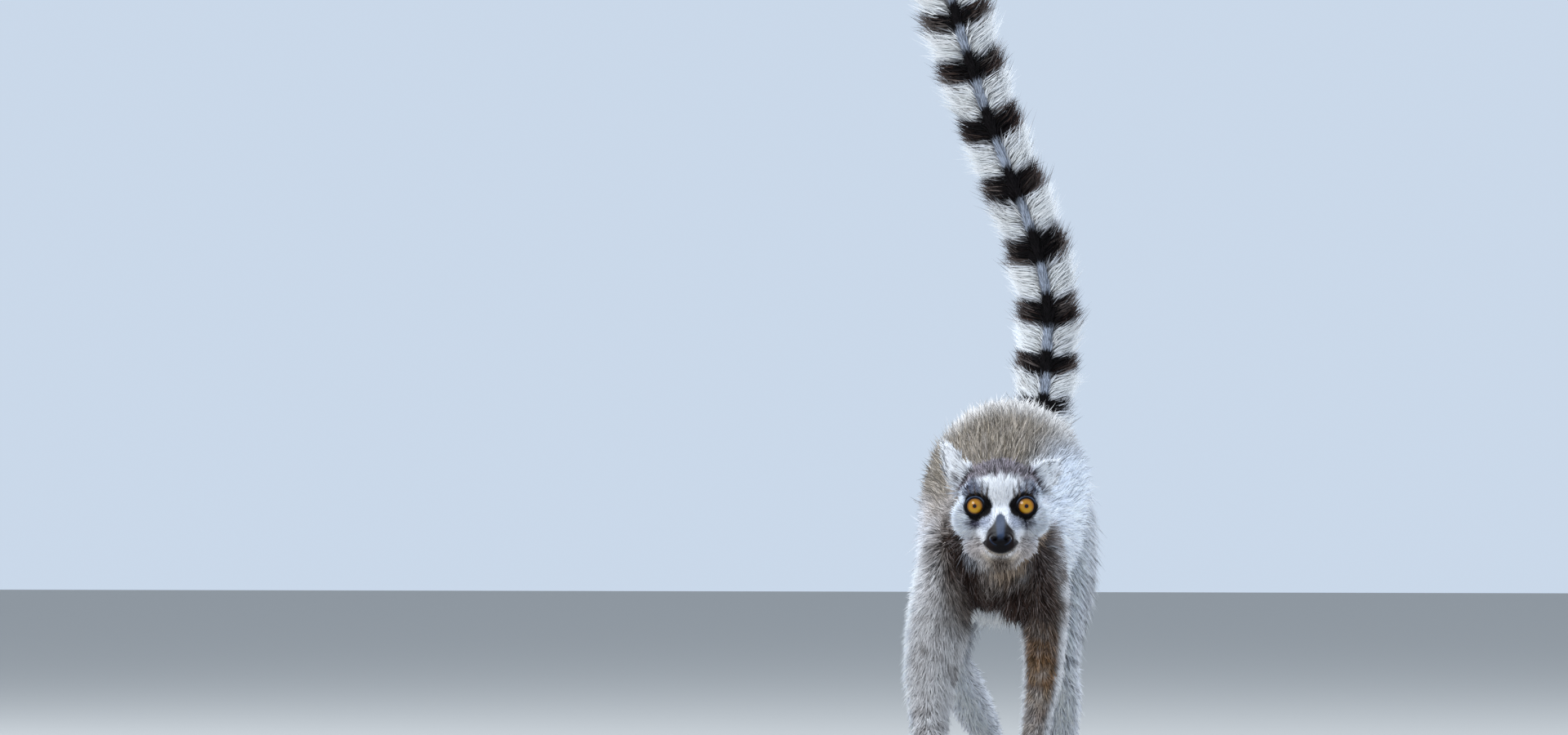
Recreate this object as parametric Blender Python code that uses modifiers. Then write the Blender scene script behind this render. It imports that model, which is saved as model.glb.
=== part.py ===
"""A life-size ring-tailed lemur in mid walk, head turned to the front and tail held up.

Metres, +Z up. The animal faces -Y, +X is its left side, and it stands on the floor at z = 0. The solids
give the outline of the coat. Each chain of flesh (the torso with its neck, head and tail, and each limb) is
a set of lofted tubes and muscle masses fused into one body, thinned, and then parted at its joints.
"""

import math

import bmesh
import bpy
import numpy as np
from mathutils import Matrix, Vector

# Driving sizes.
CM = 0.01
GAP = 0.0004  # clearance between neighbouring pieces
FUSE_VOXEL = 0.0022  # grain at which the parts of one chain are fused
FUSE_SMOOTH_STEPS = 6
RING_SIDES = 28
TAIL_SIDES = 18

EYE_RADIUS = 0.0080
EYE_SPACING = 0.0352  # centre to centre
EAR_LENGTH = 0.041
EAR_WIDTH = 0.027
EAR_THICKNESS = 0.0026
SOLE_LEVEL = 0.0

# Triangles that each chain keeps after thinning.
TORSO_TRIANGLES = 1820
ARM_TRIANGLES = 640
LEG_TRIANGLES = 660

# The torso: centre, half width and half height of each section from chest to rump, in centimetres.
TRUNK_SECTIONS = [
    ((0.2, 1.6, 22.9), 2.6, 2.8),
    ((0.1, 3.4, 22.9), 4.0, 4.0),
    ((0.0, 6.4, 23.0), 4.9, 4.7),
    ((0.0, 10.5, 23.4), 5.5, 5.6),
    ((0.0, 15.5, 24.3), 6.0, 6.7),
    ((0.0, 21.0, 25.8), 6.2, 7.0),
    ((0.0, 25.5, 27.0), 6.2, 6.8),
    ((0.2, 29.0, 27.5), 5.4, 6.0),
    ((0.4, 31.8, 27.7), 3.8, 4.2),
    ((0.6, 33.4, 27.8), 1.9, 2.1),
]
NECK_SECTIONS = [
    ((0.2, 7.0, 24.4), 3.9, 3.9),
    ((0.6, 3.2, 24.9), 3.9, 4.1),
    ((1.1, -0.4, 25.7), 3.1, 3.1),
]
# The tail rises from the rump, sways to the animal's left and back, and ends in a loose backward bow.
TAIL_SECTIONS = [
    ((0.5, 30.0, 27.8), 1.9, 1.9),
    ((1.3, 33.2, 29.8), 2.2, 2.2),
    ((2.0, 35.2, 32.6), 2.4, 2.4),
    ((2.3, 36.0, 36.4), 2.5, 2.5),
    ((2.4, 36.3, 41.0), 2.55, 2.55),
    ((1.4, 36.4, 46.0), 2.55, 2.55),
    ((-0.55, 36.4, 51.2), 2.55, 2.55),
    ((-2.5, 36.5, 56.4), 2.65, 2.65),
    ((-4.2, 36.6, 61.8), 2.85, 2.85),
    ((-5.6, 36.9, 66.8), 2.95, 2.95),
    ((-6.9, 38.0, 71.5), 2.85, 2.85),
    ((-7.5, 40.0, 75.8), 2.75, 2.75),
    ((-7.5, 42.8, 79.2), 2.5, 2.5),
    ((-7.1, 45.6, 81.3), 2.1, 2.1),
    ((-6.7, 47.6, 82.0), 1.2, 1.2),
]

# The head, from the midpoint between the eyes, forward is -Y.
HEAD_PLACE = Vector((1.2, -4.0, 26.1)) * CM
HEAD_YAW = math.radians(3.5)  # it looks a little to the animal's left
HEAD_MASSES = {
    "cranium": ((0.0, 2.5, 0.35), (3.1, 3.5, 3.1)),
    "face": ((0.0, 1.3, -0.7), (3.1, 2.0, 2.4)),
    "cheek_left": ((1.75, 1.9, -0.8), (1.95, 1.9, 2.2)),
    "cheek_right": ((-1.75, 1.9, -0.8), (1.95, 1.9, 2.2)),
    "throat": ((0.0, 3.0, -2.7), (2.3, 2.6, 1.9)),
    "brow_left": ((1.6, 0.6, 0.85), (1.2, 1.0, 0.75)),
    "brow_right": ((-1.6, 0.6, 0.85), (1.2, 1.0, 0.75)),
}
MUZZLE_SECTIONS = [
    ((0.0, 1.2, -1.2), 2.2, 1.8),
    ((0.0, -0.9, -1.65), 1.65, 1.5),
    ((0.0, -2.2, -2.15), 1.42, 1.28),
    ((0.0, -2.9, -2.45), 1.34, 1.18),
    ((0.0, -3.45, -2.58), 1.15, 1.0),
]
JAW_SECTIONS = [
    ((0.0, 2.6, -2.7), 1.9, 1.2),
    ((0.0, 0.0, -2.95), 1.6, 0.95),
    ((0.0, -2.2, -3.2), 1.05, 0.58),
    ((0.0, -3.0, -3.25), 0.7, 0.42),
]
NOSE_PLACE = (0.0, -3.7, -2.3)
NOSE_HALF = (0.95, 0.62, 0.7)
# Root, direction of the tip, and way that the cup opens, for each ear.
EARS = {
    "ear_right": ((-2.3, 3.0, 1.6), (-0.56, 0.30, 0.77), (-0.50, -0.86, 0.05)),
    "ear_left": ((2.3, 3.0, 1.5), (0.62, 0.62, 0.48), (0.62, -0.76, 0.16)),
}

# Limb sections: centre, half width and half depth. The animal's right fore hand reaches forward, the left
# one bears under the shoulder. The left foot is set down forward, the right one pushes off behind.
ARMS = {
    "right": {
        "upper": [
            ((-3.0, 4.0, 23.2), 2.1, 3.0),
            ((-3.4, 4.2, 20.2), 2.35, 3.1),
            ((-3.95, 5.3, 17.1), 2.42, 2.6),
            ((-4.5, 6.4, 13.9), 2.1, 2.2),
            ((-4.6, 6.3, 10.8), 1.6, 1.75),
            ((-4.4, 4.7, 7.6), 1.38, 1.4),
            ((-4.1, 2.9, 4.4), 1.15, 1.15),
            ((-4.05, 1.8, 2.6), 1.08, 1.0),
            ((-4.0, 0.8, 1.3), 1.2, 0.85),
        ],
        "elbow": ((-4.5, 6.5, 11.9), (0.0, 0.05, 1.0)),
        "wrist": ((-4.0, 2.2, 3.2), (0.0, 0.70, 0.70)),
        "palm": (-4.0, -0.1, 0.68),
        "heading": math.radians(2.0),
    },
    "left": {
        "upper": [
            ((3.0, 5.0, 23.2), 2.1, 3.0),
            ((3.4, 5.4, 20.2), 2.2, 3.0),
            ((3.68, 6.6, 17.1), 1.8, 2.4),
            ((3.5, 8.0, 13.6), 1.5, 2.0),
            ((3.05, 8.5, 10.6), 1.25, 1.6),
            ((2.65, 8.1, 7.6), 1.1, 1.3),
            ((2.5, 7.3, 4.4), 1.02, 1.05),
            ((2.5, 6.6, 2.6), 1.02, 0.98),
            ((2.5, 5.7, 1.3), 1.15, 0.85),
        ],
        "elbow": ((3.3, 8.4, 12.1), (0.0, -0.05, 1.0)),
        "wrist": ((2.5, 7.1, 3.2), (0.0, 0.60, 0.80)),
        "palm": (2.5, 4.9, 0.68),
        "heading": math.radians(-2.0),
    },
}
LEGS = {
    "right": {
        "upper": [
            ((-2.9, 27.0, 28.0), 2.4, 3.4),
            ((-3.3, 26.0, 25.0), 3.1, 4.6),
            ((-3.9, 23.0, 20.6), 2.7, 4.4),
            ((-4.3, 20.2, 16.8), 2.1, 3.0),
            ((-4.2, 20.2, 14.4), 1.8, 2.0),
            ((-3.4, 23.6, 12.2), 1.75, 1.8),
            ((-2.5, 27.4, 10.0), 1.5, 1.55),
            ((-1.9, 30.0, 8.2), 1.2, 1.3),
        ],
        "foot": [
            ((-1.8, 31.2, 8.3), 0.9, 0.9),
            ((-1.8, 30.3, 6.6), 1.1, 1.1),
            ((-1.8, 28.8, 4.0), 1.05, 0.9),
            ((-1.8, 27.6, 2.1), 1.2, 0.85),
            ((-1.8, 26.4, 0.56), 1.35, 0.8),
        ],
        "knee": ((-4.3, 20.0, 15.6), (0.0, -0.1, 1.0)),
        "ankle": ((-1.9, 30.0, 7.7), (0.0, 0.0, 1.0)),
        "ball": (-1.8, 26.4, 0.95),
        "heading": math.radians(2.0),
    },
    "left": {
        "upper": [
            ((2.9, 27.0, 28.0), 2.4, 3.4),
            ((3.4, 25.6, 25.0), 3.0, 4.6),
            ((4.1, 21.6, 20.8), 2.6, 4.4),
            ((4.3, 18.0, 17.0), 1.75, 3.0),
            ((4.2, 17.6, 14.4), 1.6, 2.0),
            ((4.2, 20.0, 11.6), 1.65, 1.75),
            ((4.0, 23.2, 8.6), 1.4, 1.45),
            ((3.8, 25.6, 6.2), 1.15, 1.2),
        ],
        "foot": [
            ((3.8, 26.8, 5.6), 0.9, 0.9),
            ((3.8, 25.8, 4.6), 1.1, 1.1),
            ((3.8, 23.8, 3.1), 1.05, 0.9),
            ((3.8, 21.8, 1.8), 1.2, 0.85),
            ((3.8, 20.4, 0.56), 1.35, 0.8),
        ],
        "knee": ((4.5, 17.4, 15.6), (0.0, -0.1, 1.0)),
        "ankle": ((3.8, 25.8, 5.8), (0.0, 0.0, 1.0)),
        "ball": (3.8, 20.0, 0.95),
        "heading": math.radians(-3.0),
    },
}
# Each digit: sideways start, turn from the heading in degrees, length and half thickness. Sideways is
# counted away from the thumb side.
FINGERS = [
    (-1.05, -52.0, 2.3, 0.42),
    (-0.75, -17.0, 3.0, 0.38),
    (-0.20, -4.0, 3.4, 0.38),
    (0.35, 8.0, 3.2, 0.38),
    (0.85, 22.0, 2.6, 0.36),
]
TOES = [
    (-1.15, -58.0, 2.9, 0.50),
    (-0.80, -15.0, 3.1, 0.40),
    (-0.25, -3.0, 3.7, 0.40),
    (0.35, 8.0, 3.7, 0.40),
    (0.90, 19.0, 3.2, 0.38),
]
TAIL_JOINTS = [(2.2, 36.3, 42.0), (-1.6, 36.4, 54.8), (-5.9, 37.2, 68.0)]


def clear_scene():
    for old in list(bpy.data.objects):
        bpy.data.objects.remove(old)


def collection(name, hidden=False):
    made = bpy.data.collections.new(name)
    bpy.context.scene.collection.children.link(made)
    made.hide_render = hidden
    return made


def material(name, colour, roughness):
    made = bpy.data.materials.new(name)
    made.use_nodes = True
    shader = made.node_tree.nodes["Principled BSDF"]
    shader.inputs["Base Color"].default_value = (*colour, 1.0)
    shader.inputs["Roughness"].default_value = roughness
    shader.inputs["Metallic"].default_value = 0.0
    return made


def smooth_path(sections, steps=5):
    """Catmull-Rom curve through the section centres and sizes, with this many steps from one to the next."""
    rows = np.array([(*centre, wide, deep) for centre, wide, deep in sections], float) * CM
    ends = np.vstack([2 * rows[0] - rows[1], rows, 2 * rows[-1] - rows[-2]])
    out = []
    for i in range(1, len(ends) - 2):
        a, b, c, d = ends[i - 1 : i + 3]
        for t in np.arange(steps) / steps:
            out.append(
                0.5 * (2 * b + (c - a) * t + (2 * a - 5 * b + 4 * c - d) * t**2 + (3 * b - a - 3 * c + d) * t**3)
            )
    out.append(rows[-1])
    return np.array(out)


def loft(sections, across=(1.0, 0.0, 0.0), dome=0.45, sides=RING_SIDES, steps=5):
    """A closed tube of elliptical rings round a smooth path, its ends rounded off by a few shrinking rings."""
    rows = smooth_path(sections, steps)
    centres, sizes = rows[:, :3], rows[:, 3:]
    tangents = np.gradient(centres, axis=0)
    tangents /= np.linalg.norm(tangents, axis=1)[:, None]
    lead = [(math.sin(a), math.cos(a)) for a in np.linspace(0.25, 1.15, 3)]
    rings = [(centres[0] - tangents[0] * sizes[0].min() * dome * c, sizes[0] * s, tangents[0]) for s, c in lead]
    rings += list(zip(centres, sizes, tangents))
    rings += [
        (centres[-1] + tangents[-1] * sizes[-1].min() * dome * c, sizes[-1] * s, tangents[-1])
        for s, c in reversed(lead)
    ]
    turn = np.linspace(0, 2 * math.pi, sides, endpoint=False)
    made = bmesh.new()
    loops = []
    for centre, size, along in rings:
        side = np.array(across) - along * np.dot(across, along)
        side /= np.linalg.norm(side)
        up = np.cross(side, along)
        places = centre + np.outer(np.cos(turn) * size[0], side) + np.outer(np.sin(turn) * size[1], up)
        loops.append([made.verts.new(p) for p in places])
    for low, high in zip(loops, loops[1:]):
        for i in range(sides):
            j = (i + 1) % sides
            made.faces.new((low[i], low[j], high[j], high[i]))
    made.faces.new(loops[0][::-1])
    made.faces.new(loops[-1])
    bmesh.ops.recalc_face_normals(made, faces=made.faces)
    return made


def mass(centre, half, sides=24):
    """An ellipsoid in centimetres."""
    made = bmesh.new()
    bmesh.ops.create_uvsphere(made, u_segments=sides, v_segments=sides // 2, radius=1.0)
    place = Matrix.Translation(Vector(centre) * CM) @ Matrix.Diagonal((*(h * CM for h in half), 1.0))
    bmesh.ops.transform(made, matrix=place, verts=made.verts)
    return made


def mesh_of(parts, name):
    """One mesh holding all these bmeshes."""
    whole = bmesh.new()
    for part in parts:
        piece = bpy.data.meshes.new("part")
        part.to_mesh(piece)
        part.free()
        whole.from_mesh(piece)
        bpy.data.meshes.remove(piece)
    made = bpy.data.meshes.new(name)
    whole.to_mesh(made)
    whole.free()
    return made


def evaluated_mesh(obj):
    graph = bpy.context.evaluated_depsgraph_get()
    graph.update()
    return bpy.data.meshes.new_from_object(obj.evaluated_get(graph))


def fuse(parts, name, triangles):
    """Fuses overlapping closed parts into one smooth body of about this many triangles."""
    body = bpy.data.objects.new(name, mesh_of(parts, name))
    bpy.context.scene.collection.objects.link(body)
    remesh = body.modifiers.new("fuse", "REMESH")
    remesh.mode = "VOXEL"
    remesh.voxel_size = FUSE_VOXEL
    smooth = body.modifiers.new("smooth", "SMOOTH")
    smooth.factor = 0.5
    smooth.iterations = FUSE_SMOOTH_STEPS
    fused = evaluated_mesh(body)
    bpy.data.objects.remove(body)
    thin = bpy.data.objects.new(name, fused)
    bpy.context.scene.collection.objects.link(thin)
    fused.calc_loop_triangles()
    decimate = thin.modifiers.new("thin", "DECIMATE")
    decimate.ratio = triangles / len(fused.loop_triangles)
    made = evaluated_mesh(thin)
    bpy.data.objects.remove(thin)
    return made


def half_space(mesh, point, normal, keep_ahead):
    """A copy of the mesh on one side of a plane, closed with a flat cap half a gap short of the plane."""
    work = bmesh.new()
    work.from_mesh(mesh)
    normal = Vector(normal).normalized()
    shift = normal * (GAP / 2 if keep_ahead else -GAP / 2)
    cut = bmesh.ops.bisect_plane(
        work,
        geom=work.verts[:] + work.edges[:] + work.faces[:],
        dist=1e-6,
        plane_co=Vector(point) + shift,
        plane_no=normal,
        clear_inner=keep_ahead,
        clear_outer=not keep_ahead,
    )
    rim = [item for item in cut["geom_cut"] if isinstance(item, bmesh.types.BMEdge)]
    bmesh.ops.contextual_create(work, geom=rim)
    bmesh.ops.triangulate(work, faces=work.faces[:])
    bmesh.ops.recalc_face_normals(work, faces=work.faces[:])
    made = bpy.data.meshes.new(mesh.name)
    work.to_mesh(made)
    work.free()
    return made


def part_chain(mesh, joints):
    """Parts a chain at planes listed from its root. Each normal points back towards the root."""
    pieces = []
    rest = mesh
    for point, normal in joints:
        place = Vector(point) * CM
        pieces.append(half_space(rest, place, normal, True))
        rest = half_space(rest, place, normal, False)
    return [*pieces, rest]


def node(name, mesh, look, home):
    made = bpy.data.objects.new(name, mesh)
    made.data.materials.clear()
    made.data.materials.append(look)
    home.objects.link(made)
    made.data.shade_smooth()
    return made


def cutter(name, mesh, home, grow=GAP):
    """A hidden copy of a mesh, grown by the gap along its normals, that other pieces are cut back from."""
    made = bpy.data.objects.new(name, mesh.copy())
    home.objects.link(made)
    made.hide_render = True
    made.display_type = "WIRE"
    swell = made.modifiers.new("swell", "DISPLACE")
    swell.strength = grow
    swell.mid_level = 0.0
    return made


def cut_back(obj, tool):
    cut = obj.modifiers.new("cut_" + tool.name, "BOOLEAN")
    cut.operation = "DIFFERENCE"
    cut.object = tool
    cut.solver = "EXACT"


def head_place():
    return Matrix.Translation(HEAD_PLACE) @ Matrix.Rotation(HEAD_YAW, 4, "Z")


def moved(part, place):
    bmesh.ops.transform(part, matrix=place, verts=part.verts)
    return part


def torso_parts():
    parts = [loft(TRUNK_SECTIONS), loft(NECK_SECTIONS)]
    head = [mass(centre, half) for centre, half in HEAD_MASSES.values()]
    head += [loft(MUZZLE_SECTIONS), loft(JAW_SECTIONS)]
    return parts + [moved(part, head_place()) for part in head]


def digit(root, turn, length, half):
    """A finger or toe that arches from its knuckle and lies with its pad on the floor."""
    ahead = Vector((math.sin(turn), -math.cos(turn), 0.0))
    root = Vector(root)
    heights = [0.72, 0.85, 0.6, half - 0.17]
    sizes = [half * 1.1, half, half * 0.98, half * 0.82]
    sections = []
    for share, high, size in zip((0.0, 0.34, 0.7, 1.0), heights, sizes):
        place = root + ahead * (length * share)
        sections.append(((place.x, place.y, high), size, size))
    across = (math.cos(turn), math.sin(turn), 0.0)
    return loft(sections, across, dome=0.8)


def digits(table, ball, heading, outward):
    """Five digits fanned from the ball of a hand or foot. outward is +1 on the left side and -1 on the right."""
    parts = []
    for sideways, turn, length, half in table:
        shift = outward * sideways
        root = Vector(ball) + Vector((shift * math.cos(heading), shift * math.sin(heading), 0.0))
        root.y += 0.45 if abs(turn) > 40 else -0.1
        parts.append(digit(root, heading + outward * math.radians(turn), length, half))
    return parts


def arm_parts(side, outward):
    arm = ARMS[side]
    palm = arm["palm"]
    parts = [loft(arm["upper"]), mass(palm, (1.35, 1.9, 0.75))]
    shoulder = Vector(arm["upper"][1][0])
    parts.append(mass((outward * 3.3, shoulder.y - 0.3, 21.4), (2.2, 3.2, 4.2)))  # shoulder blade and deltoid
    knuckles = (palm[0], palm[1] - 1.1, palm[2])
    return parts + digits(FINGERS, knuckles, arm["heading"], outward)


def leg_parts(side, outward):
    leg = LEGS[side]
    parts = [loft(leg["upper"]), loft(leg["foot"])]
    return parts + digits(TOES, leg["ball"], leg["heading"], outward)


def above_floor(mesh):
    """Pads are planed off at floor level, so that the hands and feet rest on small flats."""
    return half_space(mesh, (0.0, 0.0, SOLE_LEVEL - GAP / 2), (0.0, 0.0, 1.0), True)


def ear(root, tip, opening):
    """A cupped leaf: its half width swells and then rounds off to the tip, and its rim curls towards the opening."""
    along = Vector(tip).normalized()
    ahead = Vector(opening)
    ahead = (ahead - along * ahead.dot(along)).normalized()
    side = along.cross(ahead)
    rows, columns = 9, 9
    made = bmesh.new()
    grid = []
    for i in range(rows):
        t = i / (rows - 1)
        half = EAR_WIDTH / 2 * (0.62 + 1.0 * t - 1.45 * t**2 + 0.02) * (1 - t**6) ** 0.5 + 0.0012
        row = []
        for j in range(columns):
            s = 2 * j / (columns - 1) - 1
            cup = 0.55 * half * s**2 - 0.22 * EAR_LENGTH * t**2
            place = Vector(root) * CM + along * (EAR_LENGTH * t) + side * (half * s) + ahead * cup
            row.append(made.verts.new(place))
        grid.append(row)
    for low, high in zip(grid, grid[1:]):
        for j in range(columns - 1):
            made.faces.new((low[j], low[j + 1], high[j + 1], high[j]))
    bmesh.ops.transform(made, matrix=head_place(), verts=made.verts)
    mesh = bpy.data.meshes.new("ear")
    made.to_mesh(mesh)
    made.free()
    return mesh


def build():
    clear_scene()
    lemur = collection("ring_tailed_lemur")
    tools = collection("cutters", hidden=True)
    grey_fur = material("grey_fur", (0.42, 0.37, 0.32), 0.85)
    pale_fur = material("pale_fur", (0.78, 0.74, 0.70), 0.85)
    tail_fur = material("tail_fur", (0.30, 0.27, 0.25), 0.85)
    black_skin = material("black_skin", (0.02, 0.02, 0.022), 0.45)
    amber_eye = material("amber_eye", (0.72, 0.36, 0.03), 0.08)

    torso = fuse(torso_parts(), "torso", TORSO_TRIANGLES)
    torso_cutter = cutter("torso_cutter", torso, tools)

    eye_cutters = []
    for name, sign in (("eye_left", 1), ("eye_right", -1)):
        centre = head_place() @ Vector((sign * EYE_SPACING / 2, 0.0012, 0.0))
        sizes = ((name, EYE_RADIUS, lemur), (name + "_cutter", EYE_RADIUS + GAP, tools))
        for label, radius, home in sizes:
            ball = bmesh.new()
            bmesh.ops.create_uvsphere(ball, u_segments=16, v_segments=8, radius=radius)
            mesh = bpy.data.meshes.new(label)
            ball.to_mesh(mesh)
            ball.free()
            made = node(label, mesh, amber_eye, home)
            made.location = centre
            if home is tools:
                made.hide_render = True
                made.display_type = "WIRE"
                eye_cutters.append(made)

    nose_mesh = mesh_of([moved(mass(NOSE_PLACE, NOSE_HALF, 14), head_place())], "nose")
    nose_cutter = cutter("nose_cutter", nose_mesh, tools)
    node("nose", nose_mesh, black_skin, lemur)

    head_joint = ((1.1, 0.9, 25.6), (0.0, 1.0, -0.1))
    neck_joint = ((0.6, 3.4, 24.9), (0.0, 1.0, -0.25))
    neck_place, backwards = Vector(neck_joint[0]) * CM, neck_joint[1]
    trunk = half_space(torso, neck_place, backwards, True)
    neck, head = part_chain(half_space(torso, neck_place, backwards, False), [head_joint])
    node("trunk", trunk, grey_fur, lemur)
    node("neck", neck, pale_fur, lemur)
    head_node = node("head", head, pale_fur, lemur)
    for tool in (*eye_cutters, nose_cutter):
        cut_back(head_node, tool)

    tail = mesh_of([loft(TAIL_SECTIONS, sides=TAIL_SIDES, steps=2)], "tail")
    stations = [Vector(section[0]) for section in TAIL_SECTIONS]
    tail_joints = []
    for point in TAIL_JOINTS:
        nearest = min(range(1, len(stations) - 1), key=lambda i: (stations[i] - Vector(point)).length)
        tail_joints.append((point, stations[nearest - 1] - stations[nearest + 1]))
    tail_names = ("tail_root", "tail_lower", "tail_upper", "tail_tip")
    tail_nodes = [node(*made, tail_fur, lemur) for made in zip(tail_names, part_chain(tail, tail_joints))]
    cut_back(tail_nodes[0], torso_cutter)

    for side, outward in (("left", 1), ("right", -1)):
        arm = above_floor(fuse(arm_parts(side, outward), "arm", ARM_TRIANGLES))
        names = ("upper_arm_", "forearm_", "hand_")
        pieces = part_chain(arm, [ARMS[side]["elbow"], ARMS[side]["wrist"]])
        made = [node(name + side, piece, grey_fur, lemur) for name, piece in zip(names, pieces)]
        cut_back(made[0], torso_cutter)
        leg = above_floor(fuse(leg_parts(side, outward), "leg", LEG_TRIANGLES))
        names = ("thigh_", "shank_", "foot_")
        pieces = part_chain(leg, [LEGS[side]["knee"], LEGS[side]["ankle"]])
        made = [node(name + side, piece, grey_fur, lemur) for name, piece in zip(names, pieces)]
        cut_back(made[0], torso_cutter)

    for name, (root, tip, opening) in EARS.items():
        shell = node(name, ear(root, tip, opening), pale_fur, lemur)
        wall = shell.modifiers.new("wall", "SOLIDIFY")
        wall.thickness = EAR_THICKNESS
        wall.offset = 0.0
        cut_back(shell, torso_cutter)
    stand_on_origin([*lemur.objects], [*lemur.objects, *tools.objects])


def stand_on_origin(nodes, everything):
    """Moves the whole animal sideways so that its box stands with the middle of its bottom on the origin."""
    bpy.context.view_layer.update()
    low, high = np.full(3, np.inf), np.full(3, -np.inf)
    for item in nodes:
        mesh = item.data
        places = np.empty(len(mesh.vertices) * 3)
        mesh.vertices.foreach_get("co", places)
        places = places.reshape(-1, 3) + np.array(item.location)
        low, high = np.minimum(low, places.min(0)), np.maximum(high, places.max(0))
    middle = (low + high) / 2
    for item in everything:
        item.location.x -= middle[0]
        item.location.y -= middle[1]


build()
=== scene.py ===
"""A ring-tailed lemur, still and life-size, walking with its tail held up.

One skin follows the CAD chains of flesh, inside them by the depth of the coat. Eyes, lids, nails and
whiskers are pieces of their own, and the coat is solid tufts rooted on the skin. Lengths are centimetres in
the tables, in a frame whose x = 0 is the middle of the chest and whose floor is z = 0.
"""

import math

import bmesh
import bpy
import numpy as np
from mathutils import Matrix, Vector


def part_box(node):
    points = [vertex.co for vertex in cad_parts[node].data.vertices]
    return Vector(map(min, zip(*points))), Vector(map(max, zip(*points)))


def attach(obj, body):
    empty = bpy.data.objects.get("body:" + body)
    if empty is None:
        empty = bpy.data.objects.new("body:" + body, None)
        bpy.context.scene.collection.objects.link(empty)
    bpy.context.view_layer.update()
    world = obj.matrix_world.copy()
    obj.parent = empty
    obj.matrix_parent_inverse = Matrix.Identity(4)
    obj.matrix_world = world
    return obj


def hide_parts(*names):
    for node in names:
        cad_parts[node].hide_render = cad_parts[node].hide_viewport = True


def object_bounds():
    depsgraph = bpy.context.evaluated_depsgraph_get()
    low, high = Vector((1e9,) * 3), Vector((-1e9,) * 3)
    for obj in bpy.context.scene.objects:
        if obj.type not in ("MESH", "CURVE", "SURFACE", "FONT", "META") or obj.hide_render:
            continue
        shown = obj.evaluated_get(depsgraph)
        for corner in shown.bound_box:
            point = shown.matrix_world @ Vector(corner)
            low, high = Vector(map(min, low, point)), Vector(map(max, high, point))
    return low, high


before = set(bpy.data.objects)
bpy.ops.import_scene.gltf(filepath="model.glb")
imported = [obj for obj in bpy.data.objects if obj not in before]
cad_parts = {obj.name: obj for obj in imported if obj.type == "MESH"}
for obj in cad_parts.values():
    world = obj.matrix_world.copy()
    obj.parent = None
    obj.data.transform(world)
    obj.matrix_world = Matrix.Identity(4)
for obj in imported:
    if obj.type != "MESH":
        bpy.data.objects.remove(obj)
CAD_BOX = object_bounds()
CM = 0.01
SEED = 20

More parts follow.
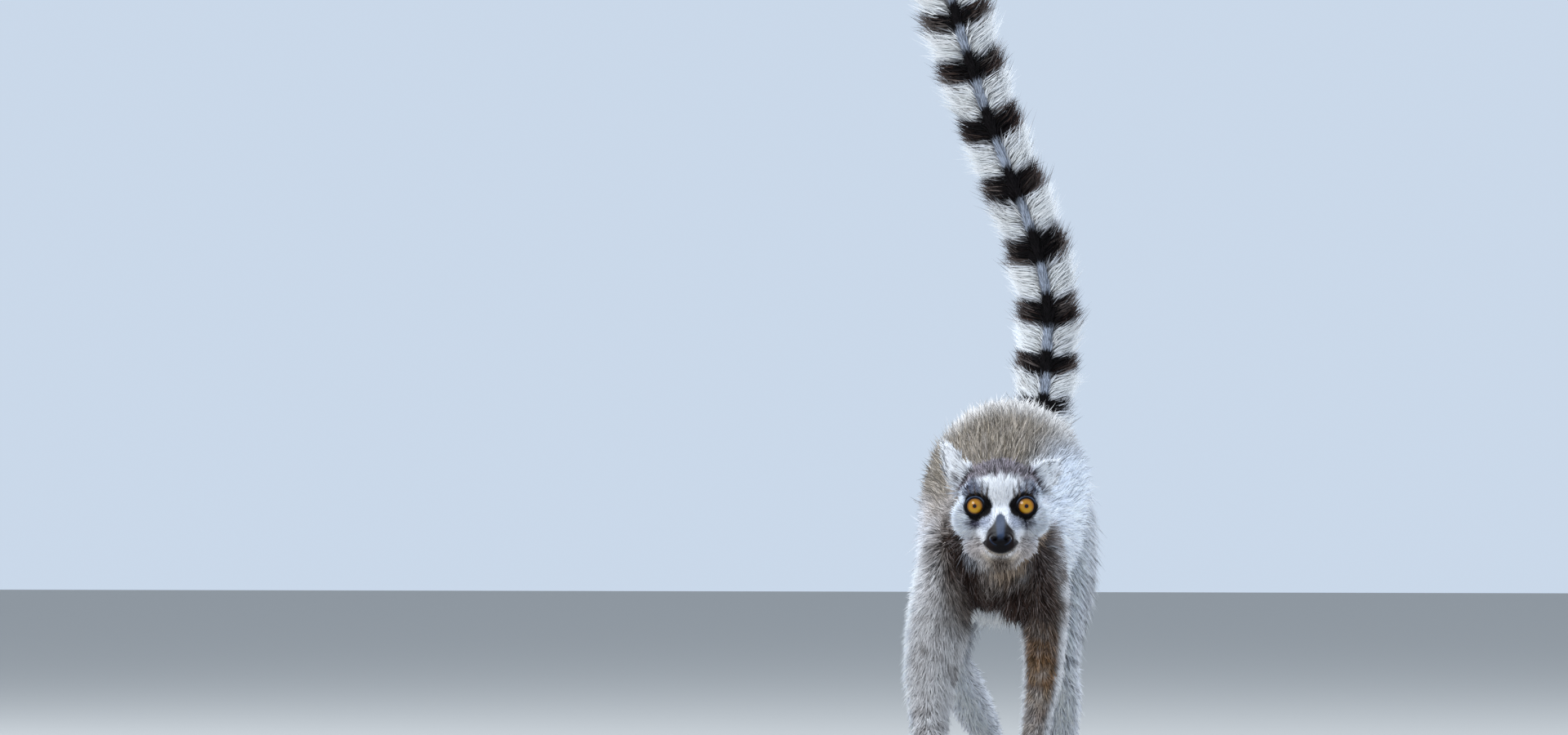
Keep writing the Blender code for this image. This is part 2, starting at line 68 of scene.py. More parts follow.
# ---------------------------------------------------------------- the body
# Centre, half width, half depth and depth of the coat for each station of each chain of flesh.
CHAINS = {
    "trunk": [
        ((0.2, 1.6, 22.9), 2.6, 2.8, 0.76),
        ((0.1, 3.4, 22.9), 4.0, 4.0, 0.99),
        ((0.0, 6.4, 23.0), 4.9, 4.7, 1.14),
        ((0.0, 10.5, 23.4), 5.5, 5.6, 1.22),
        ((0.0, 15.5, 24.3), 6.0, 6.7, 1.29),
        ((0.0, 21.0, 25.8), 6.2, 7.0, 1.29),
        ((0.0, 25.5, 27.0), 6.2, 6.8, 1.29),
        ((0.2, 29.0, 27.5), 5.4, 6.0, 1.22),
        ((0.4, 31.8, 27.7), 3.8, 4.2, 1.06),
        ((0.6, 33.4, 27.8), 1.9, 2.1, 0.91),
    ],
    "neck": [
        ((0.2, 7.0, 24.4), 3.9, 3.9, 1.2),
        ((0.6, 3.2, 24.9), 3.9, 4.1, 1.12),
        ((1.1, -0.4, 25.7), 3.1, 3.1, 0.8),
    ],
    "tail": [
        ((0.5, 30.0, 27.8), 1.9, 1.9, 0.7),
        ((1.3, 33.2, 29.8), 2.2, 2.2, 1.2),
        ((2.0, 35.2, 32.6), 2.4, 2.4, 1.6),
        ((2.3, 36.0, 36.4), 2.5, 2.5, 1.75),
        ((2.4, 36.3, 41.0), 2.55, 2.55, 1.85),
        ((1.4, 36.4, 46.0), 2.55, 2.55, 1.9),
        ((-0.55, 36.4, 51.2), 2.55, 2.55, 1.95),
        ((-2.5, 36.5, 56.4), 2.65, 2.65, 2.05),
        ((-4.2, 36.6, 61.8), 2.85, 2.85, 2.25),
        ((-5.6, 36.9, 66.8), 2.95, 2.95, 2.35),
        ((-6.9, 38.0, 71.5), 2.85, 2.85, 2.3),
        ((-7.5, 40.0, 75.8), 2.75, 2.75, 2.25),
        ((-7.5, 42.8, 79.2), 2.5, 2.5, 2.05),
        ((-7.15, 45.2, 81.1), 2.1, 2.1, 1.7),
    ],
    "arm_right": [
        ((-3.0, 4.0, 23.2), 2.1, 3.0, 0.68),
        ((-3.4, 4.2, 20.2), 2.35, 3.1, 0.75),
        ((-3.95, 5.3, 17.1), 2.42, 2.6, 0.78),
        ((-4.5, 6.4, 13.9), 2.1, 2.2, 0.75),
        ((-4.6, 6.3, 10.8), 1.6, 1.75, 0.58),
        ((-4.4, 4.7, 7.6), 1.38, 1.4, 0.48),
        ((-4.1, 2.9, 4.4), 1.15, 1.15, 0.31),
        ((-4.05, 1.8, 2.6), 1.08, 1.0, 0.2),
        ((-4.0, 0.8, 1.3), 1.2, 0.85, 0.14),
    ],
    "arm_left": [
        ((3.0, 5.0, 23.2), 2.1, 3.0, 0.72),
        ((3.4, 5.4, 20.2), 2.2, 3.0, 0.79),
        ((3.68, 6.6, 17.1), 1.8, 2.4, 0.65),
        ((3.5, 8.0, 13.6), 1.5, 2.0, 0.54),
        ((3.05, 8.5, 10.6), 1.25, 1.6, 0.43),
        ((2.65, 8.1, 7.6), 1.1, 1.3, 0.36),
        ((2.5, 7.3, 4.4), 1.02, 1.05, 0.27),
        ((2.5, 6.6, 2.6), 1.02, 0.98, 0.2),
        ((2.5, 5.7, 1.3), 1.15, 0.85, 0.14),
    ],
    "leg_right": [
        ((-2.9, 27.0, 28.0), 2.4, 3.4, 1.04),
        ((-3.3, 26.0, 25.0), 3.1, 4.6, 1.2),
        ((-3.9, 23.0, 20.6), 2.7, 4.4, 1.12),
        ((-4.3, 20.2, 16.8), 2.1, 3.0, 0.96),
        ((-4.2, 20.2, 14.4), 1.8, 2.0, 0.8),
        ((-3.4, 23.6, 12.2), 1.75, 1.8, 0.72),
        ((-2.5, 27.4, 10.0), 1.5, 1.55, 0.6),
        ((-1.9, 30.0, 8.2), 1.2, 1.3, 0.4),
    ],
    "leg_left": [
        ((2.9, 27.0, 28.0), 2.4, 3.4, 1.04),
        ((3.4, 25.6, 25.0), 3.0, 4.6, 1.2),
        ((4.1, 21.6, 20.8), 2.6, 4.4, 1.12),
        ((4.3, 18.0, 17.0), 1.75, 3.0, 0.8),
        ((4.2, 17.6, 14.4), 1.6, 2.0, 0.68),
        ((4.2, 20.0, 11.6), 1.65, 1.75, 0.68),
        ((4.0, 23.2, 8.6), 1.4, 1.45, 0.56),
        ((3.8, 25.6, 6.2), 1.15, 1.2, 0.36),
    ],
    "foot_right": [
        ((-1.8, 31.2, 8.3), 0.9, 0.9, 0.24),
        ((-1.8, 30.3, 6.6), 1.1, 1.1, 0.32),
        ((-1.8, 28.8, 4.0), 1.05, 0.9, 0.2),
        ((-1.8, 27.6, 2.1), 1.2, 0.85, 0.16),
        ((-1.8, 26.4, 0.6), 1.35, 0.8, 0.12),
    ],
    "foot_left": [
        ((3.8, 26.8, 5.6), 0.9, 0.9, 0.24),
        ((3.8, 25.8, 4.6), 1.1, 1.1, 0.28),
        ((3.8, 23.8, 3.1), 1.05, 0.9, 0.2),
        ((3.8, 21.8, 1.8), 1.2, 0.85, 0.16),
        ((3.8, 20.4, 0.6), 1.35, 0.8, 0.12),
    ],
}
# Hands and feet: middle of the palm or ball, heading of the digits, side (+1 left), and the digits as
# sideways start, turn in degrees, length and half thickness.
FINGERS = [
    (-1.05, -52, 2.3, 0.42),
    (-0.75, -17, 3.0, 0.38),
    (-0.2, -4, 3.4, 0.38),
    (0.35, 8, 3.2, 0.38),
    (0.85, 22, 2.6, 0.36),
]
TOES = [
    (-1.15, -58, 2.9, 0.5),
    (-0.8, -15, 3.1, 0.4),
    (-0.25, -3, 3.7, 0.4),
    (0.35, 8, 3.7, 0.4),
    (0.9, 19, 3.2, 0.38),
]
PAWS = {
    "hand_right": ((-4.0, -1.2, 0.68), 2.0, -1, FINGERS),
    "hand_left": ((2.5, 3.8, 0.68), -2.0, 1, FINGERS),
    "foot_right": ((-1.8, 26.4, 0.95), 2.0, -1, TOES),
    "foot_left": ((3.8, 20.0, 0.95), -3.0, 1, TOES),
}
# Rounded masses beside the chains: centre, half sizes and depth of the coat.
MASSES = [
    ((-3.3, 3.9, 21.4), (2.2, 3.2, 4.2), 0.8),  # right shoulder
    ((3.3, 5.1, 21.4), (2.2, 3.2, 4.2), 0.8),  # left shoulder
    ((-4.0, -0.1, 0.68), (1.35, 1.9, 0.75), 0.12),  # right palm
    ((2.5, 4.9, 0.68), (1.35, 1.9, 0.75), 0.12),  # left palm
    ((1.85, 3.9, 19.7), (0.95, 0.95, 1.6), 0.25),  # teats
    ((0.5, 4.1, 20.4), (0.95, 0.9, 1.05), 0.25),
]

# The head, from the midpoint between the eyes: forward is -y, and it is turned a little to its left.
HEAD_PLACE = np.array([1.2, -4.0, 26.1])
HEAD_TURN = math.radians(3.5)
HEAD_MASSES = [
    ((0.0, 2.5, 0.35), (3.1, 3.5, 3.1), 0.55),  # cranium
    ((0.0, 1.3, -0.7), (3.1, 2.0, 2.4), 0.4),  # face
    ((1.75, 1.9, -0.8), (1.95, 1.9, 2.2), 0.8),  # cheeks
    ((-1.75, 1.9, -0.8), (1.95, 1.9, 2.2), 0.8),
    ((1.35, 1.7, -2.55), (1.25, 1.8, 1.15), 0.3),  # jowls
    ((-1.35, 1.7, -2.55), (1.25, 1.8, 1.15), 0.3),
    ((0.0, 3.0, -2.7), (2.3, 2.6, 1.9), 0.6),  # throat
    ((1.6, 0.6, 0.85), (1.2, 1.0, 0.75), 0.2),  # brows
    ((-1.6, 0.6, 0.85), (1.2, 1.0, 0.75), 0.2),
    ((0.0, -3.55, -2.26), (0.80, 0.60, 0.56), 0.05),  # nose
]
MUZZLE = [
    ((0.0, 1.2, -1.2), 2.2, 1.8, 0.15),
    ((0.0, -0.9, -1.65), 1.65, 1.5, 0.1),
    ((0.0, -2.2, -2.15), 1.42, 1.28, 0.08),
    ((0.0, -2.9, -2.45), 1.34, 1.18, 0.08),
    ((0.0, -3.45, -2.58), 1.15, 1.0, 0.08),
]
JAW = [
    ((0.0, 2.6, -2.7), 1.9, 1.2, 0.3),
    ((0.0, 0.0, -2.95), 1.6, 0.95, 0.15),
    ((0.0, -2.2, -3.2), 1.05, 0.58, 0.08),
    ((0.0, -3.0, -3.25), 0.7, 0.42, 0.05),
]
EYE_SPREAD = 1.76
EYE_DEPTH = 0.12
EYE_RADIUS = 0.80
IRIS_RADIUS = 0.545
PUPIL_RADIUS = 0.135
# The dome over the iris: its edge and how far its middle stands over the edge; and how deep the skin lies
# there.
DOME_EDGE = 0.575
DOME_RISE = 0.17
EYE_BED = -0.35
GAZE = (0.10, -1.0, 0.03)
# Ear: root, direction of the tip, and way that the cup opens.
EARS = [
    ((-2.3, 3.0, 1.6), (-0.56, 0.30, 0.77), (-0.50, -0.86, 0.05)),
    ((2.3, 3.0, 1.5), (0.62, 0.62, 0.48), (0.62, -0.76, 0.16)),
]
EAR_LENGTH = 3.7
EAR_WIDTH = 2.3
EAR_WALL = 0.3
# Middles of the tail's white rings, as lengths along it from the rump, and how much of each pair is white.
RING_MIDDLES = [6.5, 9.9, 13.35, 18.2, 23.4, 28.4, 33.3, 37.8, 41.5, 45.1, 48.6, 51.9, 55.1]
WHITE_SHARE = 0.58

SKIN_VOXEL = 0.0021


def head_axes():
    """Columns are the head's own x, y and z directions in the body's frame."""
    c, s = math.cos(HEAD_TURN), math.sin(HEAD_TURN)
    return np.array([[c, -s, 0.0], [s, c, 0.0], [0.0, 0.0, 1.0]])


def to_head(places):
    """Turns points of the body's frame into the head's."""
    return (places - HEAD_PLACE) @ head_axes()


def from_head(places):
    """Turns points of the head's frame into the body's."""
    return np.asarray(places) @ head_axes().T + HEAD_PLACE


def body_shift():
    """From the tables' frame to the model's: the CAD's eyes say where the head is."""
    low, high = (np.array(v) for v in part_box("eye_left"))
    low2, high2 = (np.array(v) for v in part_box("eye_right"))
    middle = (low + high + low2 + high2) / 4 / CM
    return middle - from_head([0.0, EYE_DEPTH, 0.0])


SHIFT = body_shift()


def unit(vectors):
    """The same directions with a length of 1."""
    return vectors / np.maximum(np.linalg.norm(vectors, axis=-1, keepdims=True), 1e-9)


def smoothstep(low, high, value):
    """A soft step from 0 at low to 1 at high; high may be the lesser."""
    t = np.clip((value - low) / (high - low), 0.0, 1.0)
    return t * t * (3 - 2 * t)


def tone(red, green, blue):
    """Linear colour of a paint-card value from 0 to 255."""
    value = np.array([red, green, blue]) / 255.0
    return np.where(value <= 0.04045, value / 12.92, ((value + 0.055) / 1.055) ** 2.4)


def curve_through(stations, steps):
    """Catmull-Rom curve through rows of numbers, with this many steps from one row to the next."""
    ends = np.vstack([2 * stations[0] - stations[1], stations, 2 * stations[-1] - stations[-2]])
    a, b, c, d = ends[:-3, None], ends[1:-2, None], ends[2:-1, None], ends[3:, None]
    t = (np.arange(steps) / steps)[None, :, None]
    rows = 0.5 * (2 * b + (c - a) * t + (2 * a - 5 * b + 4 * c - d) * t**2 + (3 * b - a - 3 * c + d) * t**3)
    return np.vstack([rows.reshape(-1, stations.shape[1]), stations[-1:]])


def rows_of(table):
    """Stations as rows of plain numbers."""
    return np.array([(*centre, *rest) for centre, *rest in table], float)


def frames_along(centres, across=(1.0, 0.0, 0.0)):
    """Tangent, sideways and upward directions at each point of a path."""
    tangent = unit(np.gradient(centres, axis=0))
    side = unit(np.array(across) - tangent * (tangent @ np.array(across))[:, None])
    return tangent, side, np.cross(side, tangent)


def weave(rows, columns):
    """Quads between the rows of a grid whose rows close on themselves."""
    i, j = np.meshgrid(np.arange(rows - 1), np.arange(columns), indexing="ij")
    k = (j + 1) % columns
    quads = np.stack([i * columns + j, i * columns + k, (i + 1) * columns + k, (i + 1) * columns + j], -1)
    return quads.reshape(-1, 4)


def tube(table, across=(1.0, 0.0, 0.0), dome=0.45, sides=28, steps=6):
    """Ellipses whose half sizes are the station's less the coat, carried along a smooth path, with domed
    ends."""
    rows = curve_through(rows_of(table), steps)
    centres, sizes = rows[:, :3], rows[:, 3:5] - rows[:, 5:6]
    tangent, side, up = frames_along(centres, across)
    angles = np.linspace(0.12, 1.2, 4)
    rise, shrink = np.cos(angles) * dome, np.sin(angles)
    start = centres[0] - tangent[0] * sizes[0].min() * rise[:, None]
    end = (centres[-1] + tangent[-1] * sizes[-1].min() * rise[:, None])[::-1]
    centres = np.vstack([start, centres, end])
    sizes = np.vstack([sizes[0] * shrink[:, None], sizes, (sizes[-1] * shrink[:, None])[::-1]])
    side = np.vstack([np.repeat(side[:1], 4, 0), side, np.repeat(side[-1:], 4, 0)])
    up = np.vstack([np.repeat(up[:1], 4, 0), up, np.repeat(up[-1:], 4, 0)])
    turn = np.linspace(0, 2 * np.pi, sides, endpoint=False)[None, :, None]
    ring = np.cos(turn) * sizes[:, None, :1] * side[:, None] + np.sin(turn) * sizes[:, None, 1:] * up[:, None]
    return (centres[:, None] + ring).reshape(-1, 3), len(centres), sides


def ellipsoid(centre, half, coat, sides=24):
    """Latitude rings round x from pole to pole, scaled by the half sizes less the coat."""
    polar = np.linspace(0.06, np.pi - 0.06, sides // 2)[:, None]
    turn = np.linspace(0, 2 * np.pi, sides, endpoint=False)[None]
    out = np.sin(polar)
    ball = np.stack([-np.cos(polar) + 0 * turn, out * np.cos(turn), out * np.sin(turn)], -1)
    places = np.array(centre) + ball * (np.array(half) - coat)
    return places.reshape(-1, 3), sides // 2, sides


def digit_table(root, turn, length, half):
    """Stations of a finger or toe that arches from its knuckle and lies with its pad on the floor."""
    ahead = np.array([math.sin(turn), -math.cos(turn), 0.0])
    rows = []
    for share, high, size in ((0, 0.72, 1.1), (0.34, 0.85, 1.0), (0.7, 0.6, 0.98), (1.0, half - 0.17, 0.82)):
        place = np.array(root) + ahead * (length * share)
        rows.append(((place[0], place[1], high), half * size, half * size, 0.06))
    return rows, (math.cos(turn), math.sin(turn), 0.0)


def digits():
    """Every finger and toe, as (stations, sideways direction)."""
    for (x, y, z), heading, outward, table in PAWS.values():
        base = math.radians(heading)
        for sideways, turn, length, half in table:
            shift = outward * sideways
            root = [x + shift * math.cos(base), y + shift * math.sin(base), z]
            root[1] += 0.45 if abs(turn) > 40 else -0.1
            yield digit_table(root, base + outward * math.radians(turn), length, half)


def ear_axes(tip, opening):
    """Directions of an ear: along it to the tip, out of its cup, and across it."""
    along = unit(np.array(tip))
    ahead = np.array(opening)
    ahead = unit(ahead - along * (ahead @ along))
    return along, ahead, np.cross(along, ahead)


def ear_shell(root, tip, opening, rows=26, columns=22):
    """A cupped leaf with a wall: half its columns run over the front and half back over the rear. It
    narrows to a rounded tip, and its edges come forward with the square of the way across."""
    along, ahead, side = ear_axes(tip, opening)
    t = np.linspace(-0.12, 0.985, rows)[:, None]
    lift = np.clip(t, 0, 1)
    half = EAR_WIDTH / 2 * (0.82 + 0.5 * lift - 1.28 * lift**2) * np.sqrt(1 - lift**6) + 0.10
    s = np.concatenate([np.linspace(-1, 1, columns // 2), np.linspace(1, -1, columns // 2)])[None]
    wall = EAR_WALL * 0.5 * np.sqrt(np.maximum(1 - s**2 * 0.9, 0.0)) * (1 - 0.3 * lift)
    front = np.where(np.arange(columns)[None] < columns // 2, 1.0, -1.0)
    cup = 0.55 * half * s**2 - 0.22 * EAR_LENGTH * lift**2 + front * wall
    places = (
        np.array(root)
        + along * (EAR_LENGTH * t)[..., None]
        + side * (half * s)[..., None]
        + ahead * (cup + 0 * t)[..., None]
    )
    return places.reshape(-1, 3), rows, columns


def mesh_from(name, places, corners, sizes):
    """A mesh from points in metres, the face corners one after another, and the corners of each face."""
    mesh = bpy.data.meshes.new(name)
    mesh.vertices.add(len(places))
    mesh.vertices.foreach_set("co", np.asarray(places, np.float32).ravel())
    mesh.loops.add(len(corners))
    mesh.loops.foreach_set("vertex_index", np.asarray(corners, np.int32))
    mesh.polygons.add(len(sizes))
    starts = np.concatenate([[0], np.cumsum(sizes)[:-1]])
    mesh.polygons.foreach_set("loop_start", starts.astype(np.int32))
    mesh.polygons.foreach_set("use_smooth", np.ones(len(sizes), bool))
    mesh.update(calc_edges=True)
    mesh.validate()
    return mesh


def inside_out(points, quads):
    """Whether quads face inwards: the volume that they enclose comes out negative."""
    a, b, c, d = (points[quads[:, k]] - points.mean(0) for k in range(4))
    return (np.cross(a, b) * c + np.cross(a, c) * d).sum() < 0


def closed_grids(name, grids):
    """One mesh of closed grids, each (points, rows, columns), with a face over each end, all facing
    outwards."""
    places, corners, sizes = [], [], []
    base = 0
    for points, rows, columns in grids:
        quads = weave(rows, columns)
        low = np.arange(columns)[::-1]
        high = np.arange(columns) + (rows - 1) * columns
        if inside_out(points, quads):
            quads, low, high = quads[:, ::-1], low[::-1], high[::-1]
        corners += [quads.ravel() + base, low + base, high + base]
        sizes += [np.full(len(quads), 4), [columns, columns]]
        places.append(points)
        base += len(points)
    return mesh_from(name, np.vstack(places), np.concatenate(corners), np.concatenate(sizes))


def add_object(name, mesh):
    """Puts a mesh in the scene as an object."""
    made = bpy.data.objects.new(name, mesh)
    bpy.context.scene.collection.objects.link(made)
    return made


def applied(obj):
    """The object's mesh with its modifiers applied. The object is removed."""
    graph = bpy.context.evaluated_depsgraph_get()
    graph.update()
    mesh = bpy.data.meshes.new_from_object(obj.evaluated_get(graph))
    bpy.data.objects.remove(obj)
    return mesh


def points_of(mesh):
    """Places of a mesh's vertices."""
    places = np.empty(len(mesh.vertices) * 3)
    mesh.vertices.foreach_get("co", places)
    return places.reshape(-1, 3)


def set_points(mesh, places):
    """Moves a mesh's vertices to these places."""
    mesh.vertices.foreach_set("co", np.asarray(places, np.float32).ravel())
    mesh.update()


def flesh():
    """Every tube and mass of the body, in the body's frame."""
    for table in CHAINS.values():
        yield tube(table)
    for table, across in digits():
        yield tube(table, across, dome=0.8, sides=16, steps=4)
    for mass in MASSES:
        yield ellipsoid(*mass)
    head = [ellipsoid(*mass) for mass in HEAD_MASSES]
    head += [tube(MUZZLE), tube(JAW)]
    head += [ear_shell(*ear) for ear in EARS]
    for points, rows, columns in head:
        yield from_head(points), rows, columns


def refine(mesh, keep):
    """Splits the faces whose middle passes the test into four."""
    work = bmesh.new()
    work.from_mesh(mesh)
    middles = np.array([face.calc_center_median() for face in work.faces])
    wanted = keep(middles)
    edges = {edge for face, yes in zip(work.faces, wanted) if yes for edge in face.edges}
    bmesh.ops.subdivide_edges(work, edges=list(edges), cuts=1, use_grid_fill=True)
    work.to_mesh(mesh)
    work.free()


def relax(mesh, weights, rounds):
    """Moves each vertex part of the way to the mean of its neighbours, by its weight, this many times."""
    pairs = np.empty(len(mesh.edges) * 2, np.int32)
    mesh.edges.foreach_get("vertices", pairs)
    a, b = pairs.reshape(-1, 2).T
    places = points_of(mesh)
    count = np.bincount(a, minlength=len(places)) + np.bincount(b, minlength=len(places))
    for _ in range(rounds):
        total = np.stack(
            [
                np.bincount(a, places[b, k], len(places)) + np.bincount(b, places[a, k], len(places))
                for k in range(3)
            ],
            -1,
        )
        mean = total / np.maximum(count, 1)[:, None]
        places += (mean - places) * (0.5 * weights)[:, None]
    set_points(mesh, places)


def eye_frame(side):
    """Centre, gaze, sideways and upward directions of an eye in the head's frame; side is +1 on its
    left."""
    centre = np.array([side * EYE_SPREAD, EYE_DEPTH, 0.0])
    gaze = unit(np.array(GAZE) * [side, 1, 1])
    across = unit(np.cross([0, 0, 1.0], gaze))
    return centre, gaze, across, np.cross(gaze, across)


def by_eye(head, side):
    """How far points of the head are across, above and ahead of an eye's centre."""
    centre, gaze, across, up = eye_frame(side)
    offset = head - centre
    return offset @ across, offset @ up, offset @ gaze


def seat_eyes(head):
    """Points near an eye's axis sink behind the eyeball, and round it the face rises into a rim: the height
    along the gaze is at least 0.46 less a square of the distance from the rim's ridge."""
    for side in (-1, 1):
        gaze = eye_frame(side)[1]
        u, v, ahead = by_eye(head, side)
        radius = np.hypot(u, v)
        near = (radius < 1.9) & (ahead > -1.3)
        raised = np.maximum(ahead, 0.46 - 0.30 * ((radius - 0.76) / 0.75) ** 2)
        sunk = mix(raised, EYE_BED, 1 - smoothstep(0.61, 0.74, radius))
        head = head + np.where(near, sunk - ahead, 0.0)[:, None] * gaze
    return head


def cut_muzzle(head, front):
    """How far each point of the muzzle moves in: bell-shaped furrows and ridges across the lines of its
    forms."""
    x, y, z = head.T
    side = np.abs(x)

    # Mouth, from under the nose back along the cheeks, with a lip on each side of it, and the cleft above
    # it.
    gap = z - mouth_line(x, y)
    reach = smoothstep(-0.6, -1.4, y) * (z < -1.8)
    push = reach * (0.16 * bell(gap, 0.075) - 0.04 * bell(gap - 0.17, 0.10) - 0.03 * bell(gap + 0.16, 0.09))
    push += front * 0.06 * bell(x, 0.06) * smoothstep(-2.55, -2.70, z) * smoothstep(-3.3, -3.1, z)

    # Nostrils: a hole that curls outwards and up, under the wing of the nose, and the edge of the nose's
    # pad.
    u = side - 0.40
    w = z + 2.33
    hole = bell(u, 0.15) * bell(w + 0.25 * u, 0.095)
    curl = bell(u - 0.20, 0.10) * bell(w - 0.13, 0.13)
    wing = bell(np.hypot(u / 1.15, w) - 0.27, 0.09) * smoothstep(-0.1, 0.15, u + w)
    push += front * (0.30 * hole + 0.13 * curl - 0.06 * wing)
    push += front * 0.07 * bell(nose_pad(x, z) - 1.0, 0.12) * smoothstep(-1.75, -2.0, z)

    # The bridge is flat on top, between two soft edges.
    top = smoothstep(0.2, -0.4, y) * smoothstep(-3.4, -2.9, y) * (z > -2.4)
    return push + top * (0.07 * bell(x, 0.30) - 0.03 * bell(side - 0.55, 0.16))


def sculpt_head(places):
    """Seats the eyes and cuts the muzzle. Its points move towards its axis, and those in front straight
    back."""
    head = seat_eyes(to_head(places))
    x, y, z = head.T
    front = smoothstep(-2.6, -3.2, y)
    middle = np.stack([0 * x, 0.80 * y + 0.6, -0.2 * y - 2.9], -1)
    straight = np.stack([-0.25 * x, 1.0 + 0 * y, 0.1 + 0 * z], -1)
    inward = blend(unit(middle - head), unit(straight), front)
    return from_head(head + inward * cut_muzzle(head, front)[:, None])


def fine_places(middles):
    """Round the eyes and on the muzzle, where the skin has its smallest forms."""
    head = to_head(middles / CM)
    return near_eyes(head, 1.3) | within(head, (0, -3.2, -2.6), (1.7, 2.0, 1.3))


def face_places(middles):
    """The face, which has finer skin than the body."""
    return within(to_head(middles / CM), (0, -1.2, -1.1), (2.9, 3.2, 2.9))


def within(places, centre, half):
    """Whether points are inside an ellipsoid of these half sizes."""
    return np.linalg.norm((places - np.array(centre)) / np.array(half), axis=1) < 1


def near_eyes(head, reach):
    """Whether points of the head are this near to the middle of an eye."""
    return np.linalg.norm(np.abs(head) - [EYE_SPREAD, 0.2, 0.0], axis=1) < reach


def make_skin_mesh():
    """Fuses the flesh into one skin, splits it finer on the face, and sculpts the head."""
    body = add_object("skin", closed_grids("skin", [(p * CM, r, c) for p, r, c in flesh()]))
    fuse = body.modifiers.new("fuse", "REMESH")
    fuse.mode = "VOXEL"
    fuse.voxel_size = SKIN_VOXEL
    soften = body.modifiers.new("soften", "SMOOTH")
    soften.factor = 0.5
    soften.iterations = 6
    mesh = applied(body)
    refine(mesh, face_places)
    from_face = np.linalg.norm(to_head(points_of(mesh) / CM) - [0, -1.0, -1.0], axis=1)
    relax(mesh, smoothstep(3.6, 2.4, from_face), 3)
    refine(mesh, fine_places)
    set_points(mesh, sculpt_head(points_of(mesh) / CM) * CM)
    relax(mesh, near_eyes(to_head(points_of(mesh) / CM), 1.6), 2)
    places = points_of(mesh)
    places[:, 2] = np.maximum(places[:, 2], 0.0)
    set_points(mesh, places)
    mesh.polygons.foreach_set("use_smooth", np.ones(len(mesh.polygons), bool))
    return mesh


# ---------------------------------------------------------------- where a point is on the body
def paw_chains():
    """Hands and feet in front of the knuckles, as flat chains that only say where a point is."""
    made = {}
    for name, ((x, y, _), heading, _, table) in PAWS.items():
        ahead = np.array([math.sin(math.radians(heading)), -math.cos(math.radians(heading)), 0.0])
        reach = max(length for _, _, length, _ in table)
        spots = [np.array([x, y, 0.75]) + ahead * t for t in (-0.5, 0.6, reach * 0.55, reach + 0.3)]
        wide = (1.3, 1.7, 2.1, 2.0)
        made["paw_" + name] = [(tuple(spot), w, 0.75, 0.09) for spot, w in zip(spots, wide)]
    return made


FIELD_CHAINS = {**CHAINS, **paw_chains()}


def chain_samples():
    """Dense samples of every chain: place, direction along, sideways and up, half sizes, coat, and length
    along the chain."""
    samples = {}
    for name, table in FIELD_CHAINS.items():
        rows = curve_through(rows_of(table), 8)
        tangent, side, up = frames_along(rows[:, :3])
        steps = np.linalg.norm(np.diff(rows[:, :3], axis=0), axis=1)
        samples[name] = {
            "place": rows[:, :3],
            "tangent": tangent,
            "side": side,
            "up": up,
            "size": rows[:, 3:5],
            "coat": rows[:, 5],
            "along": np.concatenate([[0], np.cumsum(steps)]),
        }
    return samples


SAMPLES = chain_samples()
CHAIN_NAMES = list(FIELD_CHAINS)
# The coat lies along each chain, except on the neck, where it lies back from the head.
LIE = np.array([-1.0 if name == "neck" else 1.0 for name in CHAIN_NAMES])


def on_chain(places, name):
    """How each point lies to one chain: distance in shares of the chain's own radius, length along the
    chain, angle round it, its direction there and its coat."""
    chain = SAMPLES[name]
    best = np.full(len(places), 1e9)
    index = np.zeros(len(places), int)
    for k in range(len(chain["place"])):
        offset = places - chain["place"][k]
        x = offset @ chain["side"][k] / chain["size"][k, 0]
        z = offset @ chain["up"][k] / chain["size"][k, 1]
        t = offset @ chain["tangent"][k] / chain["size"][k].min()
        distance = x * x + z * z + t * t * 1.5
        nearer = distance < best
        best[nearer] = distance[nearer]
        index[nearer] = k
    offset = places - chain["place"][index]
    x = (offset * chain["side"][index]).sum(1)
    z = (offset * chain["up"][index]).sum(1)
    along = chain["along"][index] + (offset * chain["tangent"][index]).sum(1)
    return np.sqrt(best), along, np.arctan2(z, x), chain["tangent"][index], chain["coat"][index]


def whereabouts(places):
    """For each point, by the name of each chain: its distance, the length along, the angle round, the
    chain's direction, and the chain's weight, which falls off as the exponential of the distance. With them
    the chain of the greatest weight, the coat's depth, the way that it lies, and the place in the head's
    frame."""
    keys = ("distance", "along", "angle", "tangent", "coat")
    found = dict(zip(keys, (np.array(v) for v in zip(*(on_chain(places, n) for n in CHAIN_NAMES)))))
    weight = np.exp(-9.0 * (found["distance"] - found["distance"].min(0)))
    weight /= weight.sum(0)
    shared = {
        "main": weight.argmax(0),
        "coat": (weight * found["coat"]).sum(0),
        "flow": unit((weight[..., None] * found["tangent"] * LIE[:, None, None]).sum(0)),
        "head": to_head(places),
    }
    found["weight"] = weight
    return {key: dict(zip(CHAIN_NAMES, values)) for key, values in found.items()} | shared


# ---------------------------------------------------------------- noise
def hashed(cell, seed):
    """A number from 0 to 1 for each corner of a cubic lattice, scrambled from its three whole numbers."""
    h = (cell[:, 0] * 73856093) ^ (cell[:, 1] * 19349663) ^ (cell[:, 2] * 83492791) ^ (seed * 2654435761)
    h = (h ^ (h >> 13)) * 1274126177 & 0xFFFFFFFF
    return ((h ^ (h >> 16)) & 0xFFFF) / 65535.0


